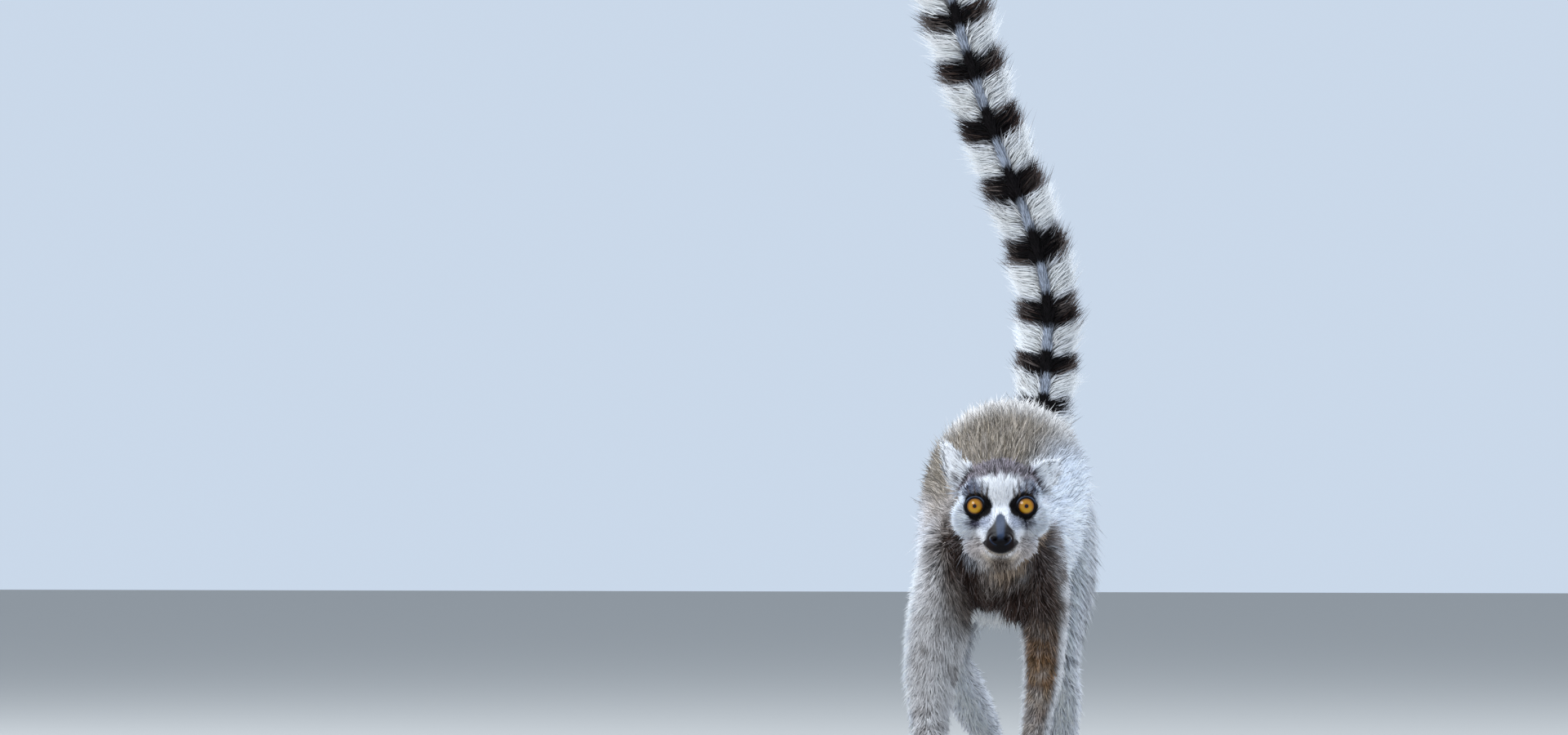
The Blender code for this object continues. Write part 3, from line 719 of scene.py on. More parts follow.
def wobble(places, scale, seed):
    """Smooth noise from 0 to 1 at points, whose lumps are about this many centimetres across: a hash at
    each corner of a cubic lattice, blended between the corners."""
    p = np.asarray(places) / scale + 100.0
    cell = np.floor(p).astype(np.int64)
    t = p - cell
    t = t * t * (3 - 2 * t)
    total = np.zeros(len(p))
    for corner in np.ndindex(2, 2, 2):
        total += hashed(cell + np.array(corner), seed) * np.where(corner, t, 1 - t).prod(1)
    return total


# ---------------------------------------------------------------- markings
WHITE = tone(236, 239, 245)
# White with the blue cast of the sky light painted in; it also stands for the light on lit sides.
PAINTED_SKYLIGHT_WHITE = tone(222, 231, 246)
PALE = tone(226, 226, 230)
CREAM = tone(226, 208, 186)
THROAT = tone(188, 166, 146)
RUMP = tone(206, 203, 201)
GREY = tone(176, 168, 164)
BACK = tone(109, 100, 88)
SHADE = tone(92, 78, 68)
GOLD = tone(126, 94, 64)
DUN = tone(160, 140, 118)
UMBER = tone(64, 48, 42)
BLACK = tone(18, 15, 17)
CROWN = tone(104, 97, 103)
STRIP = tone(128, 140, 160)
PAINTED_EYE_SHADE = tone(90, 98, 120)
# Painted reflection of the sky on the glossy black muzzle and round its nose pad.
PAINTED_SKY_REFLECTION = tone(45, 60, 86)
BARE = tone(16, 14, 18)
EYE_WALL = tone(18, 12, 10)
# Brightness of the skin under the coat, in shares of the coat's.
UNDER_COAT = 0.55


def mix(base, over, share):
    """Goes from the first value to the second by a share."""
    return base * (1 - share) + over * share


def blend(base, over, share):
    """The same for colours and directions, with the share kept between 0 and 1."""
    return mix(base, over, np.clip(share, 0, 1)[:, None])


def bell(value, width):
    """A bump of height 1 at zero, as the exponential of the square of the value over the width."""
    return np.exp(-((value / width) ** 2))


def blob(places, centre, half, soft=0.45):
    """1 inside an ellipsoid of these half sizes and 0 outside, with a soft edge."""
    distance = np.linalg.norm((places - np.array(centre)) / np.array(half), axis=1)
    return 1 - smoothstep(1 - soft, 1 + soft, distance)


def tinted(colour, places, tints):
    """Colours with soft ellipsoids of tint laid over them, one after another."""
    for tint, centre, half, soft, strength in tints:
        colour = blend(colour, tint, blob(places, centre, half, soft) * strength)
    return colour


def tail_rings(along, places, less):
    """1 in a white ring of the tail and 0 in a black one. The white share of each pair is less by this."""
    phase = np.interp(along, RING_MIDDLES, np.arange(len(RING_MIDDLES))) + 0.5
    share = phase - np.floor(phase)
    edge = 0.035 + 0.05 * wobble(places, 0.5, 7)
    return smoothstep(-edge, edge, WHITE_SHARE / 2 - less - np.abs(share - 0.5))


# Under the head: a cream lower lip, a darker throat and a brown chin, as colour, centre, half sizes,
# softness of the edge and strength.
CHIN_TINTS = [
    (CREAM, (0, -1.0, -4.0), (1.7, 2.6, 0.9), 0.5, 0.7),
    (THROAT, (0, 1.4, -4.7), (1.9, 3.0, 1.0), 0.5, 0.8),
    (SHADE * 0.75, (0, -1.8, -4.35), (0.80, 3.0, 1.05), 0.45, 0.9),
]
# Painted shade above, below and inside each eye, outwards and up from it: colour, centre, half sizes,
# strength, and whether it is made of strands.
PAINTED_SHADE_ROUND_EYES = [
    (PAINTED_EYE_SHADE * 0.9, (0.20, 1.15, 0), (0.78, 0.62, 1), 0.95, True),
    (tone(68, 67, 84), (-0.10, -1.22, 0), (0.66, 0.40, 1), 1.0, True),
    (tone(126, 134, 156), (-0.98, -0.95, 0), (0.42, 0.85, 1), 0.75, False),
]
# Dark lines over each brow: where one starts, how it leans and how long it is.
BROW_LINES = [(-0.80, -0.10, 1.3), (-0.45, -0.02, 1.6), (-0.05, 0.16, 1.4), (0.35, 0.35, 1.2)]


def cap_and_ears(colour, head, ragged):
    """The crown is a grizzled cap that runs down the nape and gives off streaks over the brows. The ears
    are white with a few brown streaks of painted shade between their locks."""
    x, y, z = head.T
    side = np.abs(x)
    t, s, _, ear = on_ear(head)
    back = smoothstep(2.2, 4.6, y) * smoothstep(3.4, 2.2, side)
    crown_line = 2.17 - 0.11 * side**2 - 2.2 * back + ragged
    crown = smoothstep(-0.25, 0.30, z - crown_line) * smoothstep(-1.6, -0.6, y) * smoothstep(4.3, 3.3, side)
    speckle = 0.35 + 1.35 * smoothstep(0.25, 0.75, wobble(head, 0.20, 9))
    colour = blend(colour, CROWN * speckle[:, None], crown * (1 - ear))
    # Painted shade: dark streaks between the locks of hair on the ears.
    streak = smoothstep(0.64, 0.72, wobble(head * [6.0, 6.0, 1.0], 1.0, 14))
    streak *= smoothstep(0.95, 0.5, t) * smoothstep(0.95, 0.6, np.abs(s))
    return blend(blend(colour, WHITE * 0.97, ear), UMBER, ear * streak * 0.65)


def eye_surround(colour, head, ragged, sign):
    """The black patch round an eye, the painted shade beside it and the lines over its brow."""
    u, v, w = by_eye(head, sign)
    u = u * sign
    front = smoothstep(-1.3, -0.6, w)
    flat = np.stack([u, v, 0 * u], -1)
    # Strands fan out from the patch: the noise is stretched along the way out from the eye.
    fan = np.stack([np.arctan2(v, u) * 5.0, 0.8 * np.hypot(u, v), 0 * u], -1)
    strands = 0.55 + 0.9 * wobble(fan, 0.55, 16 + sign)
    # Painted shade round the eye, some of it in strands.
    for tint, centre, half, strength, stranded in PAINTED_SHADE_ROUND_EYES:
        share = blob(flat, centre, half, 0.7) * front * strength
        colour = blend(colour, tint, share * strands if stranded else share)
    patch = np.hypot((u + 0.08) / np.where(u < -0.08, 1.14, 0.90), (v + 0.02) / 0.98) + ragged * 0.16
    lobe = np.hypot((u + 0.72) / 0.52, (v + 0.16) / 0.66) + ragged * 0.25
    colour = blend(colour, BLACK, (1 - smoothstep(0.92, 1.16, np.minimum(patch, lobe))) * front)
    for foot, lean, length in BROW_LINES:
        line = bell(u - foot - lean * (v - 0.7), 0.075) * smoothstep(0.75 + length, 0.8, v)
        colour = blend(colour, SHADE * 0.7, line * smoothstep(0.5, 0.8, v) * front)
    return colour


def head_colour(head, colour):
    """The head's markings over the body's: a white face under a grey cap, a cream lower lip, a brown chin
    and a darker throat, and black patches round the eyes; with painted sky light on the sides of the face and
    painted shade round the eyes."""
    x, y, z = head.T
    ragged = (wobble(head, 0.30, 3) - 0.5) * 0.5 + (wobble(head, 0.9, 4) - 0.5) * 0.4
    colour = blend(colour, WHITE, smoothstep(5.6, 3.8, y))
    # Painted blue sky light on the sides of the face.
    colour = blend(colour, PAINTED_SKYLIGHT_WHITE, smoothstep(1.3, 2.6, np.abs(x)) * 0.85)
    colour = cap_and_ears(colour, head, ragged)
    low_cheeks = blob(np.abs(head), (1.5, 1.0, 3.1), (1.4, 2.8, 1.1), 0.7) * (z < 0)
    colour = blend(colour, tone(196, 182, 176), low_cheeks * 0.75)
    colour = tinted(colour, head, CHIN_TINTS)
    below = mouth_line(x, y) - z
    lip = smoothstep(0.0, 0.03, below) * smoothstep(0.15, 0.09, below) * smoothstep(-1.0, -1.8, y)
    colour = blend(colour, CREAM * 0.85, lip * 0.8)
    for sign in (-1, 1):
        colour = eye_surround(colour, head, ragged, sign)
    return colour


def bridge_half(z):
    """Half width of the bare black muzzle at a height below the eyes."""
    depths = [0.50, 0.66, 1.13, 1.40, 1.65, 1.90, 2.30, 2.52, 3.4]
    return np.interp(-z, depths, [0.0, 0.27, 0.40, 0.56, 0.80, 0.90, 0.96, 1.40, 1.46])


# The dark bars either side of the throat, as points across and up.
LEFT_OF_THROAT = [(-2.3, 23.4), (-1.7, 22.0), (-1.3, 20.8), (-1.0, 19.4)]
RIGHT_OF_THROAT = [(3.7, 23.4), (3.6, 22.0), (3.7, 20.6), (3.8, 18.6)]


# Over the chest, one after another: colour, whether by the left bar, how far from it the colour starts and
# where it is full, and strength.
CHEST_BARS = [
    (GREY * 0.62, True, 3.6, 1.4, 0.75),
    (SHADE * 1.2, True, 2.5, 0.9, 0.75),
    (SHADE * 1.3, False, 2.3, 0.9, 0.85),
    (UMBER * 0.75, True, 1.5, 0.4, 1.0),
    (UMBER, False, 1.5, 0.4, 0.85),
]
# Painted shade on the right flank, tints of the back of the right leg and its heel; and the teats, in one
# colour.
BODY_TINTS_AND_PAINTED_SHADE = [
    # Painted shade: a dark patch on the right flank.
    (SHADE, (-5.2, 21.5, 24.8), (1.4, 3.0, 2.0), 0.7, 0.35),
    (GREY * 0.6, (-3.5, 28.0, 13.8), (0.8, 3.0, 1.2), 0.6, 0.6),
    (BARE, (-2.1, 29.3, 9.6), (1.1, 1.4, 1.2), 0.45, 0.8),
]
TEATS = [((1.85, 3.7, 18.9), (1.25, 1.8, 2.3), 0.2), ((0.4, 4.0, 19.6), (1.2, 1.8, 1.3), 0.25)]


def near_line(x, z, line):
    """Distance from a line of points in the plane that faces forward."""
    nearest = np.full(len(x), 99.0)
    for (x0, z0), (x1, z1) in zip(line, line[1:]):
        run, rise = x1 - x0, z1 - z0
        t = np.clip(((x - x0) * run + (z - z0) * rise) / (run**2 + rise**2), 0, 1)
        nearest = np.minimum(nearest, np.hypot(x - x0 - t * run, z - z0 - t * rise))
    return nearest


def trunk_colour(places, fleck, patches):
    """Brown-grey back, paler rump, pale flanks, white belly, and painted sky light, strongest on the lit left
    flank.
    The borders are soft steps of the height and of the distance to the side, moved about by noise."""
    x, y, z = places.T
    height = (z - 23.5 - 0.12 * np.maximum(y - 8, 0)) + patches * 2.0
    colour = blend(WHITE, GREY * 1.3, smoothstep(-3.5, -0.5, height))
    colour = blend(colour, BACK, smoothstep(0.0, 3.0, height) * (0.95 + 0.4 * fleck))
    high = smoothstep(18.5, 25.0, y) * smoothstep(4.2, 7.0, z - 25 + patches)
    colour = blend(colour, RUMP, np.maximum(high, smoothstep(25.5, 29.0, y) * 0.85) * 0.9)
    # Painted light: the left flank, on the lit side, goes whiter and bluer.
    left = smoothstep(1.5, 4.8, x + patches) * smoothstep(32.0, 28.0, z)
    colour = blend(colour, PAINTED_SKYLIGHT_WHITE, left * (0.85 + 0.4 * fleck))
    # Painted light, weaker, on the outer side of the right flank.
    return blend(colour, PAINTED_SKYLIGHT_WHITE, smoothstep(-4.4, -5.8, x) * smoothstep(27.5, 24.5, z) * 0.5)


def neck_colour(places, fleck, patches):
    """Grey, browner on top, and whiter on the left with painted sky light on that lit side."""
    x, _, z = places.T
    colour = blend(GREY * 1.25, BACK, smoothstep(0.5, 3.5, z - 25.0 + patches) * 0.6)
    # Painted light on the lit left side of the neck.
    left = smoothstep(1.0, 4.0, x + patches) * smoothstep(29.0, 25.5, z)
    return blend(colour, PAINTED_SKYLIGHT_WHITE, left * (0.75 + 0.4 * fleck))


def ripples(places, along, waves, scale, seed):
    """Bands round a limb, from 0 to 1: the sine of the length along it, shaken by noise."""
    per_length, shake = waves
    return np.sin(along * per_length + shake * wobble(places, scale, seed)) * 0.5 + 0.5


def right_arm_colour(places, along, angle, fleck):
    """Pale outside with darker ripples and fine lines, dark inside, and a brown spot by the elbow. The outer
    edge has a painted rim of sky light.
    """
    outward = -np.cos(angle)
    below = smoothstep(0.5, 5.0, along)
    colour = blend(WHITE * 0.95, PALE, smoothstep(-0.3, 0.8, outward))
    colour = blend(colour, GREY * 1.25, smoothstep(0.9, 0.3, outward) * 0.35)
    bands = ripples(places, along, (3.1, 6.6), 1.6, 5) * below
    colour = blend(colour, GREY * 0.75, bands * (0.08 + fleck * 0.3))
    line = smoothstep(0.52, 0.72, wobble(places * [0.45, 0.45, 1.7], 0.34, 17))
    colour = blend(colour, SHADE, line * below * smoothstep(1.0, 0.75, outward) * 0.32)
    inner = smoothstep(0.2, -0.6, outward) * smoothstep(8.5, 3.0, along)
    colour = blend(colour, GREY * 0.42, inner * (0.75 + fleck))
    # Painted rim light: the outer edge goes blue-white.
    colour = blend(colour, PAINTED_SKYLIGHT_WHITE, smoothstep(0.8, 1.0, outward) * 0.7) * 1.12
    return blend(colour, UMBER, blob(places, (-2.7, 6.0, 13.4), (0.4, 0.9, 0.5), 0.6) * 0.6)


def left_arm_colour(places, along, angle, fleck):
    """Pale, with a front that goes from brown at the shoulder to golden with ripples below the elbow."""
    outward = np.cos(angle)
    colour = blend(WHITE * 0.95, PALE, smoothstep(-0.3, 0.8, outward))
    front = smoothstep(0.1, 0.7, -np.sin(angle)) * smoothstep(0.80, 0.46, outward)
    front *= smoothstep(-0.95, -0.6, outward) * smoothstep(0.5, 2.5, along)
    brown = blend(SHADE, GOLD, smoothstep(5.0, 8.0, along))
    bands = ripples(places, along, (2.6, 6.0), 1.5, 6) * smoothstep(6.0, 12.0, along)
    brown = blend(brown, DUN, bands * 0.8)
    lower = 1 - 0.35 * smoothstep(9.0, 14.0, along)
    return blend(colour, brown, front * (0.95 + 0.5 * fleck) * lower)


def leg_colour(angle):
    """White in front and behind, greyer outside and inside, half way to a white with painted blue sky light.
    """
    colour = blend(WHITE, GREY * 1.3, smoothstep(0.3, 0.9, np.abs(np.cos(angle) - 0.2)) * 0.8)
    return mix(colour, PAINTED_SKYLIGHT_WHITE, 0.5)


def chest_colour(colour, places, fleck):
    """Throat and chest: a cream strip down the middle between two dark bars that fade out over the
    shoulders."""
    x, y, z = places.T
    chest = smoothstep(8.5, 6.5, y)
    ragged = 0.9 * fleck + 0.6 * (wobble(places, 1.1, 13) - 0.5)
    left = near_line(x, z, LEFT_OF_THROAT) + ragged
    right = near_line(x, z, RIGHT_OF_THROAT) + ragged
    for tint, by_left, start, full, strength in CHEST_BARS:
        colour = blend(colour, tint, chest * smoothstep(start, full, left if by_left else right) * strength)
    strip = smoothstep(0.5, -0.3, np.abs(x - 1.25) - 0.75 - 0.5 * (z - 20.4) + ragged)
    strip *= smoothstep(19.8, 20.8, z + fleck) * smoothstep(25.2, 23.6, z) * smoothstep(5.0, 2.5, y)
    colour = blend(colour, THROAT, chest * strip)
    return blend(colour, SHADE, chest * blob(places, (1.2, 3.2, 20.2), (1.7, 2.6, 0.9), 0.4) * (0.9 + fleck))


def paw_colour(colour, places):
    """Grey fingers and toes on bare black pads."""
    for (x, y, _), *_ in PAWS.values():
        low = blob(places, (x, y - 1.5, 0.2), (3.6, 5.0, 1.0), 0.3)
        colour = blend(colour, GREY * 0.95, low * 0.7)
        colour = blend(colour, BARE, smoothstep(0.42, 0.18, places[:, 2]) * low)
    return colour


def tail_colour(places, info, fleck):
    """The dark rings have a black core along the top and go brown and then grey outwards; the white ones
    have a narrow blue-grey strip with dark dashes beside it. The lowest dark ring has pale sides."""
    length, angle = info["along"]["tail"], info["angle"]["tail"]
    lateral = np.abs(2.5 * info["distance"]["tail"] * np.cos(angle))
    top = (np.sin(angle) > 0) * 1.0
    white = tail_rings(length, places, 0.08 * bell(lateral, 0.95) * top)
    dark = blend(BLACK, UMBER * 1.1, smoothstep(1.45, 1.9, lateral + fleck * 0.4) * (0.5 + 0.45 * top))
    dark = blend(dark, GREY * 0.55, smoothstep(1.6, 2.5, lateral + fleck) * (0.25 + 0.55 * top))
    dark = blend(dark, WHITE * 0.8, smoothstep(1.5, 1.9, lateral) * smoothstep(9.6, 9.0, length) * top)
    light = blend(WHITE, STRIP, (1 - smoothstep(0.36, 0.50, lateral)) * top * 0.8)
    dash = smoothstep(0.35, 0.65, wobble(places * [1.0, 1.0, 0.7], 0.5, 15))
    light = blend(light, BLACK * 2, bell(lateral - 0.52, 0.12) * top * dash * 0.85)
    rings = blend(dark, light, white)
    rings = blend(rings, GREY * 1.2, smoothstep(5.4, 4.2, length + fleck))
    return blend(rings, BLACK, smoothstep(57.0, 58.0, length))


def coat_colour(places, info=None):
    """The animal's markings at points on or near its skin, with painted sky light and painted shade laid over
    some of them.
    """
    info = info or whereabouts(places)
    x, y, z = places.T
    weight, along, angle = info["weight"], info["along"], info["angle"]
    fleck = wobble(places, 0.55, 11) - 0.5
    patches = wobble(places, 2.6, 12) - 0.5

    colour = trunk_colour(places, fleck, patches)
    colour = blend(colour, neck_colour(places, fleck, patches), weight["neck"])
    cape = smoothstep(9.0, 1.0, y + 2.0 * patches) * smoothstep(23.5, 27.5, z) * smoothstep(6.0, 3.0, x)
    colour = blend(colour, GREY * 0.85, cape * 0.45 * (weight["trunk"] + weight["neck"]))
    for name, limb_colour in (("arm_right", right_arm_colour), ("arm_left", left_arm_colour)):
        colour = blend(colour, limb_colour(places, along[name], angle[name], fleck), weight[name])
    for name in ("leg_right", "leg_left"):
        colour = blend(colour, leg_colour(angle[name]), weight[name])
    colour = blend(colour, GREY * 1.3, (weight["foot_right"] + weight["foot_left"]) * 0.45)
    # Painted shade on the right flank, and tints of the right leg and its heel.
    colour = tinted(colour, places, BODY_TINTS_AND_PAINTED_SHADE)
    colour = chest_colour(colour, places, fleck)
    colour = paw_colour(colour, places)
    length = along["tail"]
    off_rump = smoothstep(2.5, 4.5, length + fleck)
    colour = blend(colour, tail_colour(places, info, fleck), weight["tail"] * off_rump)

    # A fine grain over the body: dark locks among paler ones.
    grain = smoothstep(0.50, 0.75, wobble(places, 0.24, 18))
    body = 1 - weight["tail"] * smoothstep(2.5, 4.5, length)
    colour = colour * (1 + 0.10 - (0.42 - 0.12 * weight["arm_right"]) * grain * body)[:, None]

    # Head and teats, over the rest.
    head = info["head"]
    colour = blend(colour, head_colour(head, colour), head_share(head))
    colour = blend(colour, SHADE * 0.8, blob(head, (0, 0.0, -4.20), (0.68, 5.0, 0.66), 0.6) * 0.95)
    colour = blend(colour, UMBER * 0.9, np.maximum(*(blob(places, *teat) for teat in TEATS)))
    return np.clip(colour * (1 + 0.10 * fleck[:, None]), 0.002, 0.95)


# ---------------------------------------------------------------- the coat
COAT_TUFTS = 240000
COAT_PIECES = 8
# How far the tips may pass the sides of the CAD's box.
PAST = 1.15
LOCK_SIZE = 0.75
# A tuft's thickest place in shares of its length, its faces, and its corners' places on the flat plan.
THICKEST = 0.4
TUFT_FACES = np.array([0, 1, 2, 0, 2, 3, 0, 3, 1, 4, 2, 1, 4, 3, 2, 4, 1, 3])
TUFT_CHART = np.array([[0.5, 0], [0, 0.5], [1, 0.5], [0.5, 0.6], [0.5, 1.0]]) - 0.5
TUFT_CHART_SIZE = 0.003
WHISKER_HALF = 0.011
# Each chain's part of the flat plan: left, right, low and high edges.
CHARTS = {
    "tail": (0.01, 0.17, 0.01, 0.99),
    "trunk": (0.19, 0.58, 0.01, 0.50),
    "neck": (0.19, 0.58, 0.88, 0.99),
    "arm_right": (0.60, 0.78, 0.01, 0.45),
    "arm_left": (0.80, 0.98, 0.01, 0.45),
    "leg_right": (0.60, 0.78, 0.47, 0.88),
    "leg_left": (0.80, 0.98, 0.47, 0.88),
    "foot_right": (0.60, 0.78, 0.90, 0.94),
    "foot_left": (0.80, 0.98, 0.90, 0.94),
    "paw_hand_right": (0.60, 0.68, 0.95, 0.99),
    "paw_hand_left": (0.70, 0.78, 0.95, 0.99),
    "paw_foot_right": (0.80, 0.88, 0.95, 0.99),
    "paw_foot_left": (0.90, 0.98, 0.95, 0.99),
}
HEAD_CHART = (0.19, 0.58, 0.52, 0.86)


def unwrap(info):
    """A place on a flat plan of the skin for each point: its angle round the chain and length along it, or
    its bearing from the middle of the head."""
    u = np.zeros(len(info["main"]))
    v = np.zeros(len(info["main"]))
    for number, name in enumerate(CHAIN_NAMES):
        mine = info["main"] == number
        left, right, low, high = CHARTS[name]
        share = np.clip((info["along"][name][mine] + 2.5) / (SAMPLES[name]["along"][-1] + 6.0), 0, 1)
        u[mine] = mix(left, right, info["angle"][name][mine] / (2 * np.pi) + 0.5)
        v[mine] = mix(low, high, share)
    x, y, z = (info["head"] - [0.0, 1.0, -0.8]).T
    mine = head_share(info["head"]) > 0.5
    left, right, low, high = HEAD_CHART
    u[mine] = mix(left, right, np.arctan2(x, -y) / (2 * np.pi) + 0.5)[mine]
    v[mine] = mix(low, high, np.arctan2(z, np.hypot(x, y)) / np.pi + 0.5)[mine]
    return np.stack([u, v], -1)


def head_share(head):
    """1 on the head and ears, and 0 on the neck and body."""
    x, y, z = head.T
    return np.maximum(smoothstep(5.3, 4.3, y) * smoothstep(-5.1, -4.3, z) * (np.abs(x) < 8), on_ear(head)[3])


def on_ear(head):
    """How far each point is along an ear, how far across it from -1 to 1, which way its tip points, and a
    share that is 1 on an ear and 0 off it."""
    t = np.zeros(len(head))
    s = np.zeros(len(head))
    flow = np.zeros((len(head), 3))
    front = np.zeros(len(head))
    for root, tip, opening in EARS:
        along, ahead, side = ear_axes(tip, opening)
        mine = head[:, 0] * root[0] > 0
        offset = head[mine] - np.array(root)
        t[mine] = offset @ along / EAR_LENGTH
        s[mine] = offset @ side / (EAR_WIDTH / 2)
        flow[mine] = along
        front[mine] = offset @ ahead
    out = np.linalg.norm((head - [0, 2.5, 0.35]) / [3.1, 3.5, 3.1], axis=1)
    share = smoothstep(1.02, 1.15, out) * smoothstep(0.0, 0.25, t) * smoothstep(1.5, 1.25, t)
    return t, s, flow, share * smoothstep(1.6, 1.3, np.abs(s)) * smoothstep(1.8, 1.4, np.abs(front))


def bare_share(head):
    """1 on the bare black skin of the muzzle."""
    x, y, z = head.T
    edge = bridge_half(z) + 0.08 * smoothstep(-2.0, -3.3, y)
    above_mouth = smoothstep(-0.05, 0.08, z - mouth_line(x, y))
    return smoothstep(0.10, -0.06, np.abs(x) - edge) * (y < 0.3) * above_mouth * (z < -0.45)


def nose_pad(x, z):
    """Distance from the middle of the nose's pad, in shares of its half sizes."""
    return np.hypot(x / 0.80, (z + 2.24) / 0.52)


def muzzle_colour(head):
    """Bare skin: black and a little brown at the sides, with a painted bluish reflection of the sky along the
    bridge and a painted highlight round the pad."""
    x, y, z = head.T
    side = np.abs(x)
    colour = blend(BARE * 0.8, tone(30, 20, 19), smoothstep(0.35, 0.8, side) * 0.8)
    half = np.interp(-z, [0.5, 1.4, 2.3], [0.50, 0.42, 0.30])
    colour = blend(colour, PAINTED_SKY_REFLECTION, smoothstep(half, half * 0.4, side) * smoothstep(-2.45, -1.9, z) * 0.85)
    # Painted highlight: a bluish ring round the nose's pad.
    ring = bell(nose_pad(x, z) - 0.90, 0.06) * smoothstep(0.2, 0.4, side)
    ring *= smoothstep(-2.1, -2.3, z) * smoothstep(-2.9, -3.2, y)
    return blend(colour, PAINTED_SKY_REFLECTION, ring * 0.8)


def mouth_line(x, y):
    """Height of the mouth at a point of the muzzle: it rises with the square of the distance to the
    side."""
    return -3.30 + 0.72 * np.clip(np.abs(x) / 1.34, 0, 1.08) ** 2 + 0.06 * np.clip(y + 3.0, 0, 3)


def eye_distance(head):
    """Distance from the nearer eye's axis, for points in front of it, and a large number behind."""
    nearest = np.full(len(head), 9.0)
    for side in (-1, 1):
        u, v, ahead = by_eye(head, side)
        nearest = np.minimum(nearest, np.where(ahead > -0.9, np.hypot(u, v), 9.0))
    return nearest


# Tufts for each square centimetre, lift in degrees, width and looseness of the coat, by the first word of
# the chain's name.
COATS = {
    "trunk": (34, 54, 0.090, 0.24),
    "neck": (44, 48, 0.078, 0.24),
    "tail": (96, 56, 0.085, 0.12),
    "arm": (62, 58, 0.066, 0.24),
    "leg": (38, 48, 0.080, 0.24),
    "foot": (60, 20, 0.060, 0.10),
    "paw": (80, 14, 0.050, 0.10),
}
HEAD_DENSITY = 95
FACE_DENSITY = 180
TAIL_LIFT = COATS["tail"][1]


def coat_values(weight, column):
    """A column of COATS at each point, mixed by the weights of the chains."""
    return sum(COATS[name.split("_")[0]][column] * share for name, share in weight.items())


def weight_of(weight, word):
    """Weight of the chains whose name starts with this word."""
    return sum(share for name, share in weight.items() if name.startswith(word))


def coat_density(places, info):
    """Tufts for each square centimetre of skin."""
    head = info["head"]
    face = smoothstep(1.6, 0.2, head[:, 1]) * smoothstep(-4.6, -4.0, head[:, 2])
    density = mix(coat_values(info["weight"], 0), mix(HEAD_DENSITY, FACE_DENSITY, face), head_share(head))
    density *= 1 - bare_share(head)
    density *= smoothstep(0.67, 0.75, eye_distance(head))
    return density * smoothstep(0.10, 0.30, places[:, 2])


def lie_on_body(places, info):
    """Way that the body's coat points: along the chains, and down or back where the weights below say
    so."""
    _, y, z = places.T
    weight = info["weight"]
    arms, legs = weight_of(weight, "arm"), weight_of(weight, "leg")
    flow = info["flow"]
    for pull, share in (
        ((0, 0, -0.55), weight["trunk"] * smoothstep(27.0, 22.0, z)),
        ((0, 0.35, 0), arms),
        ((0, 1.2, -0.3), arms * smoothstep(17.5, 22.0, z)),
        ((0, 0.5, -0.2), legs),
    ):
        flow = flow + np.array(pull) * share[:, None]
    flow = blend(flow, np.array([0, 0.25, -1.0]), weight["neck"] * smoothstep(25.0, 22.0, z))
    chest = smoothstep(6.5, 3.5, y) * smoothstep(24.5, 22.5, z) * (weight["trunk"] + weight["neck"])
    return blend(flow, np.array([0, -0.1, -1.0]), chest)


def lie_on_tail(places, info):
    """Way, lift and depth of the tail's coat. It is parted along the top: a narrow strip lies short and
    flat, the hair beside it is combed outwards, and the rest stands out. The white rings stand a little
    higher."""
    along, turn = info["along"]["tail"], info["angle"]["tail"]
    from_top = np.abs((turn - np.pi / 2 + np.pi) % (2 * np.pi) - np.pi)
    strip = smoothstep(0.50, 0.30, from_top)
    comb = smoothstep(1.6, 0.5, from_top) * (1 - strip)
    chain = SAMPLES["tail"]
    sample = np.clip(np.searchsorted(chain["along"], along), 0, len(chain["along"]) - 1)
    aside = chain["side"][sample] * np.sign(np.cos(turn))[:, None]
    flow = 0.5 * info["tangent"]["tail"] + aside * (1.3 * comb)[:, None]
    lift = 72 - 34 * comb - 45 * strip
    reach = 1.30 * (1 - 0.12 * comb) * (1 - 0.72 * strip) * (0.94 + 0.12 * tail_rings(along, places, 0.0))
    return flow, lift, info["coat"] * reach * height_of_tuft(np.radians(lift))


